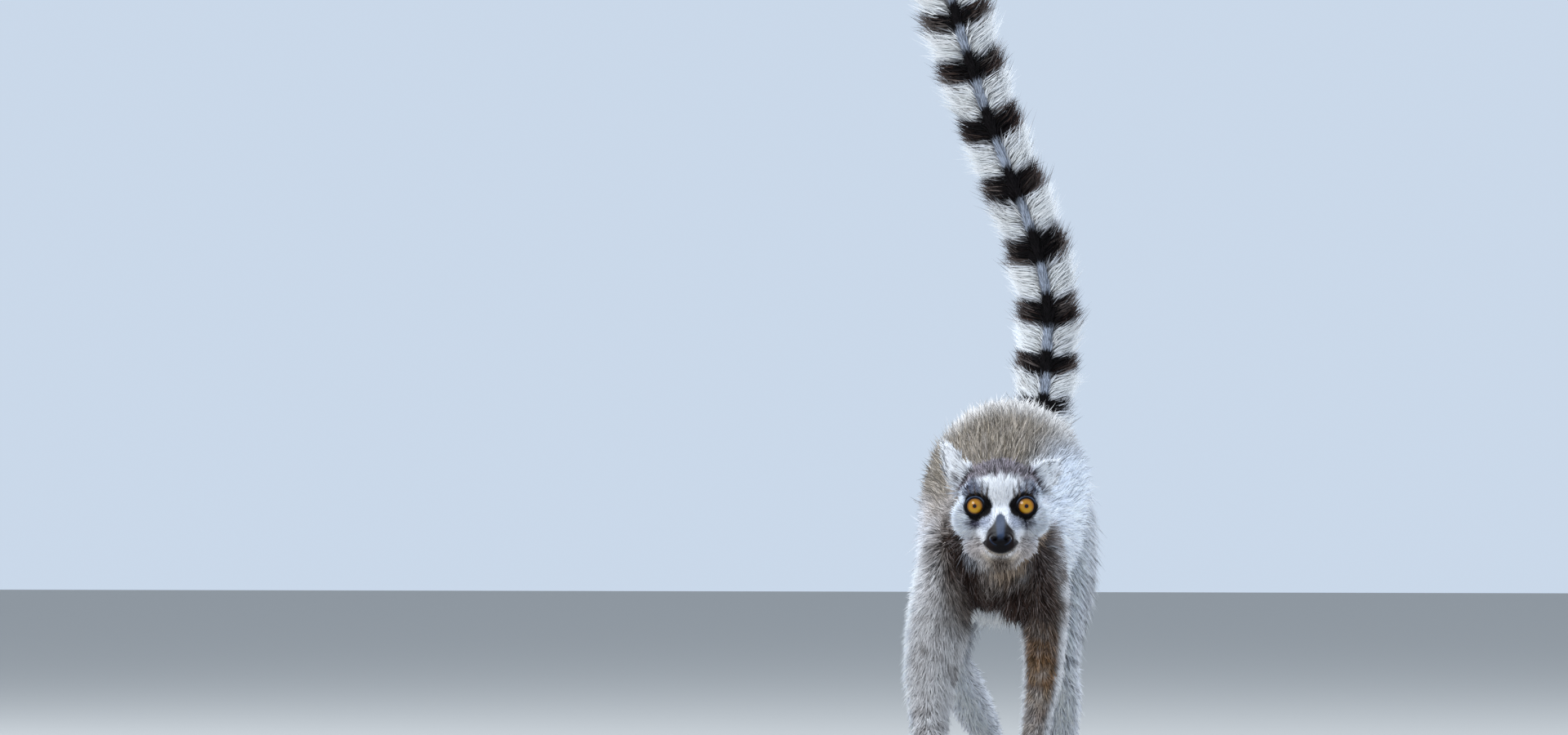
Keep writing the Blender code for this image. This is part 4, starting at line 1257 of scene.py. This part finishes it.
def lie_on_head(head, normals):
    """Way, lift, depth and width of the head's coat. It runs back from the nose, down and back under the
    chin, and along the ears to their tips; it is shortest on the face and by the eyes and the bare
    muzzle."""
    x, y, z = head.T
    t, _, ear_flow, ear = on_ear(head)
    flow = unit(head - np.array([0, -3.9, -1.7]))
    flow += np.array([0, 0.25, -0.35]) * smoothstep(-1.5, -3.5, z)[:, None]
    chin = smoothstep(-3.2, -3.8, z) * smoothstep(0.5, -1.0, y)
    flow = blend(flow, np.array([0, 0.9, -0.6]) + unit(np.stack([x, 0 * x, 0 * x], -1)) * 0.5, chin)
    flow = blend(flow, ear_flow * 1.2 + normals @ head_axes() * 0.1, ear)

    side = np.abs(x)
    front = smoothstep(1.8, 0.0, y) * (1 - ear)
    cheek = smoothstep(1.5, 2.4, side) * smoothstep(0.3, -1.0, z)
    crown = smoothstep(1.2, 2.2, z)
    ruff = smoothstep(2.2, 3.0, side) * smoothstep(1.6, 0.6, z) * smoothstep(-4.0, -3.2, z) * (1 - ear)
    below = smoothstep(-2.6, -3.8, z)
    hollow = blob(head, (0.0, -0.7, 0.4), (1.3, 1.6, 1.1), 0.6)
    hollow = np.maximum(hollow, blob(np.abs(head), (1.5, 0.6, 1.1), (0.9, 1.0, 0.7), 0.6))

    depth = mix(0.37, 0.14, front) + 0.12 * cheek + 0.12 * crown * (1 - front) + 0.22 * below + 0.25 * ruff
    depth -= 0.08 * smoothstep(1.5, 1.05, eye_distance(head))
    depth *= 1 - 0.6 * smoothstep(0.5, 0.1, side - bridge_half(z)) * (z < -0.5) * (y < 0)
    depth = mix(depth, 0.15 + 0.10 * np.clip(t, 0, 1), ear) + 0.10 * hollow
    lift = mix(36, 15, front) + 12 * cheek + 8 * below + 12 * ruff + 24 * hollow
    lift = mix(lift, 24, ear) + 14 * smoothstep(-2.6, -3.1, z) * smoothstep(1.5, 0.0, y)
    return flow @ head_axes().T, lift, np.maximum(depth, 0.06), mix(0.06, 0.05, front)


def height_of_tuft(angle):
    """Height of a tuft's tip in shares of its length: it leaves at its lift and bends over to half of
    it."""
    return 0.5 * (np.sin(angle) + np.sin(angle * 0.5))


def lie_of_coat(places, normals, info):
    """Direction, length, lift, width and looseness of the tuft at each root."""
    weight = info["weight"]
    lift, width, loose = (coat_values(weight, column) for column in (1, 2, 3))
    belly = weight["trunk"] * smoothstep(-0.3, -0.8, normals[:, 2]) * smoothstep(8.0, 11.0, places[:, 1])
    tail_flow, tail_lift, tail_depth = lie_on_tail(places, info)
    flow = blend(lie_on_body(places, info), tail_flow, weight["tail"])
    lift = lift + (tail_lift - TAIL_LIFT) * weight["tail"]
    depth = mix(info["coat"] + 0.45 * belly, tail_depth, weight["tail"])

    share = head_share(info["head"])
    head_flow, head_lift, head_depth, head_width = lie_on_head(info["head"], normals)
    flow = blend(flow, head_flow, share)
    lift = mix(lift, head_lift, share)
    depth = mix(depth, head_depth, share)
    width = mix(width, head_width, share)
    loose = mix(loose, 0.12, share)

    # Waves and locks: the lie wanders from place to place, less so on the head.
    flow = unit(flow - normals * (flow * normals).sum(1)[:, None])
    across = np.cross(normals, flow)
    sway = (wobble(places, 1.3, 21) - 0.5) * 0.5 + (wobble(places, 3.4, 22) - 0.5) * 0.5
    flow = unit(flow + across * (sway * (1 - 0.6 * share))[:, None])
    angle = np.radians(lift)
    return flow, depth / height_of_tuft(angle), angle, width, loose


def normals_of(mesh):
    """Directions in which a mesh's vertices face."""
    values = np.empty(len(mesh.vertices) * 3, np.float32)
    mesh.vertices.foreach_get("normal", values)
    return values.reshape(-1, 3).astype(float)


def scatter(mesh, total, rng):
    """Roots spread evenly by density over the skin: places in centimetres and normals."""
    mesh.calc_loop_triangles()
    corners = np.empty(len(mesh.loop_triangles) * 3, np.int32)
    mesh.loop_triangles.foreach_get("vertices", corners)
    corners = corners.reshape(-1, 3)
    places = points_of(mesh) / CM - SHIFT
    a, b, c = (places[corners[:, k]] for k in range(3))
    area = np.linalg.norm(np.cross(b - a, c - a), axis=1) / 2
    middle = (a + b + c) / 3
    running = np.cumsum(area * coat_density(middle, whereabouts(middle)))
    picks = (np.arange(total) + rng.random(total)) / total * running[-1]
    face = corners[np.minimum(np.searchsorted(running, picks), len(corners) - 1)]
    u, v = rng.random((2, total))
    flip = u + v > 1
    u, v = np.where(flip, 1 - u, u), np.where(flip, 1 - v, v)
    share = np.stack([1 - u - v, u, v], -1)[..., None]
    return (places[face] * share).sum(1), unit((normals_of(mesh)[face] * share).sum(1))


def lock_pull(places, across, size, seed):
    """How far sideways each root lies from the middle of its lock; locks are the cells of a jittered
    lattice."""
    p = places / size + 50.0
    cell = np.floor(p).astype(np.int64)
    best = np.full(len(p), 1e9)
    nearest = np.zeros_like(p)
    for shift in np.ndindex(3, 3, 3):
        c = cell + np.array(shift) - 1
        middle = c + np.stack([hashed(c, seed + k) for k in range(3)], -1)
        distance = ((middle - p) ** 2).sum(1)
        closer = distance < best
        best[closer] = distance[closer]
        nearest[closer] = middle[closer]
    return (((nearest - 50.0) * size - places) * across).sum(1)


def keep_clear(points, skin_mesh, gap, cell=0.35):
    """Moves points out of the skin. The skin's vertices are gathered in cubic cells, and a point that lies
    less than its gap above the mean plane of its cell moves out along that plane's normal."""
    places = points_of(skin_mesh) / CM - SHIFT
    low = places.min(0) - 3.0
    size = ((places.max(0) + 3.0 - low) / cell).astype(int) + 1

    def cells(p):
        index = np.clip(((p - low) / cell).astype(int), 0, size - 1)
        return (index[:, 0] * size[1] + index[:, 1]) * size[2] + index[:, 2]

    values = np.concatenate([places, normals_of(skin_mesh), np.ones((len(places), 1))], 1)
    used, inverse = np.unique(cells(places), return_inverse=True)
    sums = np.stack([np.bincount(inverse, values[:, k]) for k in range(7)], -1)
    mean = sums[:, :6] / sums[:, 6:]
    spot = np.searchsorted(used, cells(points)).clip(0, len(used) - 1)
    found = (used[spot] == cells(points)) & (np.linalg.norm(mean[spot, 3:], axis=1) > 0.8)
    above = ((points - mean[spot, :3]) * mean[spot, 3:]).sum(1)
    push = np.where(found, np.clip(gap - above, 0, 0.6), 0)
    return points + unit(mean[spot, 3:]) * push[:, None]


def turned(first, second, angle):
    """The first of two directions, turned towards the second by an angle."""
    return first * np.cos(angle)[:, None] + second * np.sin(angle)[:, None]


def shape_tufts(skin_mesh, roots, normals, info, rng):
    """Five corners for each tuft: its start under the skin, three round its thickest part and its tip. It
    leaves the skin at its lift and bends over to half of it, and neighbours lean together into locks."""
    total = len(roots)
    flow, length, angle, width, loose = lie_of_coat(roots, normals, info)
    across = np.cross(normals, flow)
    length *= rng.normal(1.0, 0.14, total).clip(0.6, 1.35) * (1 + 0.22 * (rng.random(total) < 0.08))
    angle *= rng.normal(1.0, 0.18, total).clip(0.5, 1.5)
    heading = turned(flow, across, rng.normal(0, 1, total) * loose)
    side = np.cross(normals, heading)
    first = turned(heading, normals, angle)
    second = turned(heading, normals, angle * 0.5)
    start = roots - normals * 0.08
    pull = lock_pull(roots, side, LOCK_SIZE, 31).clip(-0.45, 0.45) * np.minimum(1.0, length / 1.5)
    steep = np.sin(angle).clip(0.3, 1)
    middle = start + first * (length * THICKEST)[:, None] + side * (pull * 0.15)[:, None]
    middle = keep_clear(middle, skin_mesh, np.minimum(0.10 + 0.12 * length, 0.3) * steep)
    tip = middle + second * (length * (1 - THICKEST))[:, None] + side * (pull * 0.35)[:, None]
    tip = keep_clear(tip, skin_mesh, np.minimum(0.10 + 0.15 * length, 0.4) * steep)
    limits = np.array([CAD_BOX[0][0], CAD_BOX[1][0]]) / CM + [-PAST, PAST] - SHIFT[0]
    for points in (middle, tip):
        points[:, 2] = np.maximum(points[:, 2], 0.08)
        points[:, 0] = np.clip(points[:, 0], *limits)
    size = rng.uniform(0.75, 1.25, total) * width
    roll = rng.normal(0, 0.5, total)
    out = np.cross(second, side)
    wide, high = turned(side, out, roll), turned(out, -side, roll)
    verts = np.empty((total, 5, 3))
    verts[:, 0] = start
    around = np.stack([wide * 0.5, -wide * 0.5, high * 0.42], 1)
    verts[:, 1:4] = middle[:, None] + around * size[:, None, None]
    verts[:, 4] = tip
    return verts


def shade_tufts(verts, info, rng):
    """Colour and opacity of each tuft's corners: the marking at about two thirds of its length, darker at the
    root. Tufts differ in brightness, some pale ones are dark and some dark ones pale, and away from the
    tail they are banded with a lighter or a darker tip."""
    total = len(verts)
    colour = coat_colour(verts[:, 0] + (verts[:, 4] - verts[:, 0]) * 0.65)
    green = colour[:, 1]
    spread = 0.10 + 0.18 * smoothstep(0.5, 0.15, green)
    bright = (1 + rng.normal(0, 1, total) * spread).clip(0.5, 1.6)
    draw = rng.random(total)
    body = np.where(head_share(info["head"]) > 0.5, (green > 0.045) * 1.0, 1 - info["weight"]["tail"])
    bright = np.where(draw < 0.30 * smoothstep(0.75, 0.45, green), bright * 0.5, bright)[:, None]
    pale = (draw > 1 - 0.30 * body) & (green < 0.16)
    colour = np.where(pale[:, None], colour * 1.5 + PALE * 0.10, colour)
    banded = body * (0.35 + 0.65 * smoothstep(0.6, 0.3, colour[:, 1]))
    light_tip = (rng.random(total) < 0.5) * 1.0
    belt = 0.9 + banded * (0.38 - 0.58 * light_tip)
    end = 1.15 + banded * (1.05 * light_tip - 0.60)
    # The root is darker, as the underfur is, and as painted shade deep in the coat.
    along = np.stack([np.full(total, 0.5), belt, end], 1)[..., None]
    shade = np.repeat((colour * bright)[:, None] * along, [1, 3, 1], axis=1).clip(0.003, 0.95)
    return np.concatenate([shade, np.ones(shade.shape[:2] + (1,))], -1)


def coat_piece(name, verts, shade, chart, normals):
    """One piece of the coat: six faces for each tuft, its colours, its places on the flat plan, and normals
    that lean towards the skin's."""
    corners = (TUFT_FACES[None] + np.arange(len(verts))[:, None] * 5).ravel()
    sizes = np.full(len(corners) // 3, 3)
    mesh = mesh_from(name, (verts.reshape(-1, 3) + SHIFT) * CM, corners, sizes)
    layer = mesh.color_attributes.new("marking", "FLOAT_COLOR", "POINT")
    layer.data.foreach_set("color", shade.astype(np.float32).ravel())
    plan = mesh.uv_layers.new(name="OFBake")
    plan.data.foreach_set("uv", chart.reshape(-1, 2)[corners].astype(np.float32).ravel())
    leaning = unit(normals_of(mesh) + np.repeat(normals, 5, axis=0) * 1.8)
    mesh.normals_split_custom_set_from_vertices(leaning.astype(np.float32))
    return add_object(name, mesh)


def grow(skin_mesh):
    """The coat: three-sided tufts that taper to a point at both ends and are thickest at two fifths of
    their length, dealt at random to the coat's pieces."""
    rng = np.random.default_rng(SEED)
    total = COAT_TUFTS // 1
    roots, normals = scatter(skin_mesh, total, rng)
    info = whereabouts(roots)
    verts = shape_tufts(skin_mesh, roots, normals, info, rng)
    shade = shade_tufts(verts, info, rng)
    chart = unwrap(info)[:, None] + TUFT_CHART * TUFT_CHART_SIZE
    order = np.argsort(rng.random(total), kind="stable")
    for number in range(COAT_PIECES):
        mine = np.sort(order[number::COAT_PIECES])
        yield coat_piece(f"coat_{number + 1}", verts[mine], shade[mine], chart[mine], normals[mine])


# ---------------------------------------------------------------- materials
def material(name, roughness, specular=0.5, marking=False, **sockets):
    """A plain material, with the colour painted on the mesh when it has markings."""
    made = bpy.data.materials.new(name)
    made.use_nodes = True
    shader = made.node_tree.nodes["Principled BSDF"]
    shader.inputs["Roughness"].default_value = roughness
    shader.inputs["Specular IOR Level"].default_value = specular
    for socket, value in sockets.items():
        shader.inputs[socket.replace("_", " ")].default_value = value
    if marking:
        read(made, "marking", "Color", "Base Color")
    return made


def read(made, name, output, socket):
    """Feeds a value painted on the mesh to a socket of the material."""
    tree = made.node_tree
    node = tree.nodes.new("ShaderNodeAttribute")
    node.attribute_name = name
    tree.links.new(node.outputs[output], tree.nodes["Principled BSDF"].inputs[socket])


def bump(made, scale, strength, distance=0.0005):
    """Gives the material a fine pebbled surface."""
    tree = made.node_tree
    coordinate = tree.nodes.new("ShaderNodeTexCoord")
    noise = tree.nodes.new("ShaderNodeTexNoise")
    noise.inputs["Scale"].default_value = scale
    noise.inputs["Detail"].default_value = 3.0
    node = tree.nodes.new("ShaderNodeBump")
    node.inputs["Strength"].default_value = strength
    node.inputs["Distance"].default_value = distance
    tree.links.new(coordinate.outputs["Object"], noise.inputs["Vector"])
    tree.links.new(noise.outputs["Fac"], node.inputs["Height"])
    tree.links.new(node.outputs["Normal"], tree.nodes["Principled BSDF"].inputs["Normal"])


def skin_material():
    """Dull where the coat covers it and smoother on the bare muzzle."""
    made = material("skin", 0.6, 0.10, marking=True)
    read(made, "dryness", "Fac", "Roughness")
    bump(made, 900.0, 0.35)
    return made


def paint(mesh, colours):
    """Writes a colour for each vertex."""
    layer = mesh.color_attributes.new("marking", "FLOAT_COLOR", "POINT")
    full = np.concatenate([colours, np.ones((len(colours), 1))], -1)
    layer.data.foreach_set("color", full.astype(np.float32).ravel())


# ---------------------------------------------------------------- eyes, lids, nails and whiskers
def lathe(side, profile, columns=64):
    """A surface turned about an eye's axis: each row of the profile is a radius and a height along the
    gaze, and the radius may change with the angle."""
    centre, gaze, across, up = eye_frame(side)
    turn = np.linspace(0, 2 * np.pi, columns, endpoint=False)
    radius, height = profile(turn[None])
    local = (
        centre
        + (radius * np.cos(turn))[..., None] * across
        + (radius * np.sin(turn))[..., None] * up
        + height[..., None] * gaze
    )
    return from_head(local.reshape(-1, 3)), radius.shape[0], columns


def eyeball_profile(turn):
    """A sphere whose front, out to the dome's edge, is a low dome that falls with the square of the
    radius."""
    ahead = np.concatenate([np.linspace(0.012, 0.8, 34), np.linspace(0.88, 3.1, 12)])[:, None]
    radius = EYE_RADIUS * np.sin(ahead)
    low = np.sqrt(EYE_RADIUS**2 - DOME_EDGE**2)
    dome = low + DOME_RISE * (1 - (radius / DOME_EDGE) ** 2)
    height = np.where((radius < DOME_EDGE) & (ahead < 1.5), dome, EYE_RADIUS * np.cos(ahead))
    return radius + 0 * turn, height + 0 * turn


def eyeball(side):
    """An eye in its colours: a near-black pupil, and an iris that goes from orange through streaky amber to
    a brown edge, yellower low down."""
    points, rows, columns = lathe(side, eyeball_profile)
    mesh = closed_grids("eye", [((points + SHIFT) * CM, rows, columns)])
    u, v, ahead = by_eye(to_head(points), side)
    radius = np.hypot(u, v)
    turn = np.arctan2(v, u)
    streak = 0.5 + 0.5 * np.sin(turn * 23 + 2 * np.sin(turn * 7)) * np.sin(turn * 11 + 1.3)
    colour = blend(tone(170, 110, 6), tone(206, 164, 28), streak * smoothstep(0.52, 0.2, radius) * 0.6)
    for shade, share in (
        (tone(204, 160, 34), smoothstep(0.1, -0.3, v) * 0.5),
        (tone(104, 60, 6), smoothstep(0.38, IRIS_RADIUS, radius)),
        (tone(150, 66, 8), smoothstep(0.26, PUPIL_RADIUS - 0.005, radius) * 0.7),
        (tone(3, 2, 2), smoothstep(PUPIL_RADIUS + 0.01, PUPIL_RADIUS - 0.01, radius)),
        (EYE_WALL, smoothstep(IRIS_RADIUS - 0.03, IRIS_RADIUS + 0.02, radius)),
        (EYE_WALL, (ahead < 0) * 1.0),
    ):
        colour = blend(colour, shade, share)
    paint(mesh, colour)
    return mesh


# Rows of a lid from its hidden inner edge over the roll to its hidden outer edge: radius beyond the
# opening, height, and how much the crease and the brow move the row.
LID_ROWS = [
    (0.0, 0.46, 0, 0),
    (0.0, 0.560, 0, 0),
    (0.012, 0.583, 0, 0),
    (0.03, 0.588, 0, 0),
    (0.055, 0.580, 0, 0),
    (0.085, 0.563, 1, 0.3),
    (0.115, 0.54, 0, 1),
    (0.155, 0.50, 0, 1),
    (0.23, 0.34, 0, 0),
    (0.18, 0.05, 0, 0),
]


def lid_profile(turn):
    """The opening is a circle a little lower above and a little wider at the corners."""
    upper = np.clip(np.sin(turn), 0, 1)
    opening = 0.575 - 0.030 * upper**2 + 0.012 * np.cos(turn) ** 2
    radius, height, crease, brow = np.array(LID_ROWS).T[..., None]
    return opening + radius, height - 0.045 * upper**2 * crease + 0.05 * upper * brow


def lid(side):
    """The dark rim round an eye: it rises from behind the edge of the opening, rolls over and dives under
    the skin. The upper half hangs a little lower over the eye, and along its crease a bluish highlight is
    painted."""
    points, rows, columns = lathe(side, lid_profile)
    inner = np.arange(columns)
    outer = inner + (rows - 1) * columns
    seam = np.stack([outer, np.roll(outer, -1), np.roll(inner, -1), inner], -1)
    corners = np.concatenate([weave(rows, columns), seam])
    if inside_out(points, corners):
        corners = corners[:, ::-1]
    mesh = mesh_from("lid", (points + SHIFT) * CM, corners.ravel(), np.full(len(corners), 4))
    u, v, _ = by_eye(to_head(points), side)
    radius = np.hypot(u, v)
    # Painted highlight: a bluish band along the upper lid's crease.
    crease = bell(radius - 0.69, 0.035) * smoothstep(0.1, 0.8, v / radius)
    paint(mesh, blend(BARE, tone(92, 108, 136), crease * 0.8))
    return mesh


def nails():
    """A nail on each digit: a small curved plate over the top of its end, arched across and sloping down
    towards its tip."""
    grids = []
    t = np.linspace(0.03, 0.97, 8)[:, None]
    turn = np.linspace(0, 2 * np.pi, 14, endpoint=False)[None]
    for table, _ in digits():
        tip, half, *_ = table[-1]
        ahead = unit((np.array(tip) - np.array(table[-2][0])) * [1, 1, 0.4])
        side = unit(np.cross([0, 0, 1.0], ahead))
        up = np.cross(ahead, side)
        wide = half * 0.72 * np.sin(np.pi * t) ** 0.4
        arch = 0.62 - 0.5 * t**2 - 0.35 * np.cos(turn) ** 2 * np.sin(np.pi * t)
        points = (
            np.array(tip)
            + ahead * (half * (-0.1 + 1.55 * t))[..., None]
            + side * (wide * np.cos(turn))[..., None]
            + up * (half * arch + 0.06 * np.sin(turn))[..., None]
        )
        grids.append(((points.reshape(-1, 3) + SHIFT) * CM, 8, 14))
    return closed_grids("nails", grids)


# Beds of whiskers on the muzzle, over the eyes and on the cheeks, on the head's left: middle, heading,
# number of hairs and longest length.
WHISKER_BEDS = [
    ((1.25, -2.3, -2.35), (1.0, -0.25, -0.22), 11, 3.6),
    ((1.1, -0.1, 1.3), (0.6, -0.5, 0.9), 3, 1.8),
    ((2.5, 0.6, -2.2), (1.0, -0.3, -0.35), 4, 3.0),
]


def whisker(root, ahead, length, side):
    """A narrow cone along a curve that droops and sweeps back with the square of the way along it."""
    t = np.linspace(0, 1, 9)[:, None]
    bend = np.array([0.0, 0.30, -0.22]) * t**2
    path = (root + (ahead * t + bend) * length) * [side, 1, 1]
    turn = np.linspace(0, 2 * np.pi, 5, endpoint=False)[None, :, None]
    _, across, up = frames_along(path, (0.1, 0.2, 1.0))
    ring = np.cos(turn) * across[:, None] + np.sin(turn) * up[:, None]
    points = path[:, None] + ring * (WHISKER_HALF * (1.05 - t)[..., None])
    return (from_head(points.reshape(-1, 3)) + SHIFT) * CM, 9, 5


def whiskers():
    """Long tapering hairs, scattered about the beds on both sides of the head."""
    rng = np.random.default_rng(SEED + 1)
    grids = []
    for middle, heading, count, longest in WHISKER_BEDS:
        for side in (-1, 1):
            for _ in range(count):
                root = np.array(middle) + rng.uniform(-1, 1, 3) * [0.12, 0.45, 0.30]
                ahead = unit(np.array(heading) + rng.uniform(-0.22, 0.22, 3))
                grids.append(whisker(root, ahead, longest * rng.uniform(0.6, 1.05), side))
    return closed_grids("whiskers", grids)


# ---------------------------------------------------------------- put it together
def place(piece, made, slot, *nodes):
    """Gives a piece its material, and says which nodes of the CAD it replaces. The slot is not used."""
    piece.data.materials.clear()
    piece.data.materials.append(made)
    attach(piece, "root")
    if nodes:
        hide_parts(*nodes)


def build_skin():
    """The skin in the coat's colours, darker than the tufts, with the bare muzzle smooth and black."""
    mesh = make_skin_mesh()
    places = points_of(mesh) / CM
    set_points(mesh, (places + SHIFT) * CM)
    info = whereabouts(places)
    bare = bare_share(info["head"])
    paint(mesh, blend(coat_colour(places, info) * UNDER_COAT, muzzle_colour(info["head"]), bare))
    dryness = mesh.attributes.new("dryness", "FLOAT", "POINT")
    dryness.data.foreach_set("value", (0.75 - 0.38 * bare).astype(np.float32))
    skin = add_object("skin", mesh)
    flesh_nodes = [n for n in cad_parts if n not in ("eye_left", "eye_right")]
    place(skin, skin_material(), "grey_fur", *flesh_nodes)
    return mesh


def build():
    """Makes every piece of the animal."""
    skin_mesh = build_skin()
    fur = material("coat", 0.85, 0.12, marking=True)
    for piece in grow(skin_mesh):
        place(piece, fur, "grey_fur")

    wet = material("eye", 0.25, 0.05, marking=True, Coat_Weight=0.7, Coat_Roughness=0.02)
    leather = material("leather", 0.5, 0.10, marking=True)
    bump(leather, 1400.0, 0.5, 0.0004)
    horn = material("horn", 0.35, 0.5, Base_Color=(*tone(44, 36, 34), 1.0))
    hair = material("whisker", 0.4, 0.5, Base_Color=(*tone(52, 42, 38), 1.0))
    for name, side in (("left", 1), ("right", -1)):
        place(add_object(f"eyeball_{name}", eyeball(side)), wet, "amber_eye", f"eye_{name}")
        place(add_object(f"lid_{name}", lid(side)), leather, "black_skin")
    place(add_object("nails", nails()), horn, "black_skin")
    place(add_object("whiskers", whiskers()), hair, "black_skin")


def light(name, energy, size, place, target, colour):
    """A round lamp of this width that faces the target."""
    data = bpy.data.lights.new(name, "AREA")
    data.energy = energy
    data.color = colour
    data.shape = "DISK"
    data.size = size
    made = bpy.data.objects.new(name, data)
    made.location = place
    made.rotation_euler = (Vector(target) - Vector(place)).to_track_quat("-Z", "Y").to_euler()
    bpy.context.scene.collection.objects.link(made)


# Lamps of an overcast day: name, strength, width, place, what it faces and colour.
LAMPS = [
    ("sky", 56, 2.2, (-0.5, 0.4, 2.4), (0, 0, 0.2), (0.90, 0.95, 1.0)),
    ("front", 30, 1.1, (-1.0, -2.6, 1.6), (0, -0.1, 0.25), (1.0, 0.98, 0.95)),
    ("left_rim", 30, 1.2, (-2.2, 1.0, 1.3), (0, 0, 0.25), (0.82, 0.90, 1.0)),
    ("right_rim", 38, 1.2, (2.2, 1.4, 1.2), (0, 0, 0.25), (0.85, 0.92, 1.0)),
]


def set_stage():
    """A pale floor under the animal, soft light from all round, and the camera low in front of it."""
    scene = bpy.context.scene
    below = -0.0005
    square = [(-6, -6, below), (6, -6, below), (6, 8, below), (-6, 8, below)]
    floor = add_object("floor", mesh_from("floor", square, [0, 1, 2, 3], [4]))
    floor.data.materials.append(material("floor", 0.9, 0.2, Base_Color=(0.42, 0.41, 0.39, 1.0)))
    scene.world = bpy.data.worlds.new("overcast")
    scene.world.use_nodes = True
    background = scene.world.node_tree.nodes["Background"]
    background.inputs["Color"].default_value = (0.72, 0.84, 1.0, 1.0)
    background.inputs["Strength"].default_value = 0.82
    for lamp in LAMPS:
        light(*lamp)
    scene.view_settings.view_transform = "Standard"
    scene.view_settings.look = "None"

    eyes = Vector((from_head([0.0, EYE_DEPTH, 0.0]) + SHIFT) * CM)
    camera = bpy.data.objects.new("camera", bpy.data.cameras.new("camera"))
    scene.collection.objects.link(camera)
    scene.camera = camera
    distance = 4.5
    turn = math.radians(3.5)
    camera.location = (eyes.x + distance * math.sin(turn), eyes.y - distance * math.cos(turn), 0.31)
    camera.rotation_euler = (math.radians(90.626), 0, math.radians(5.45))
    camera.data.lens = 146
    camera.data.sensor_width = 36
    camera.data.clip_end = 60


build()
set_stage()
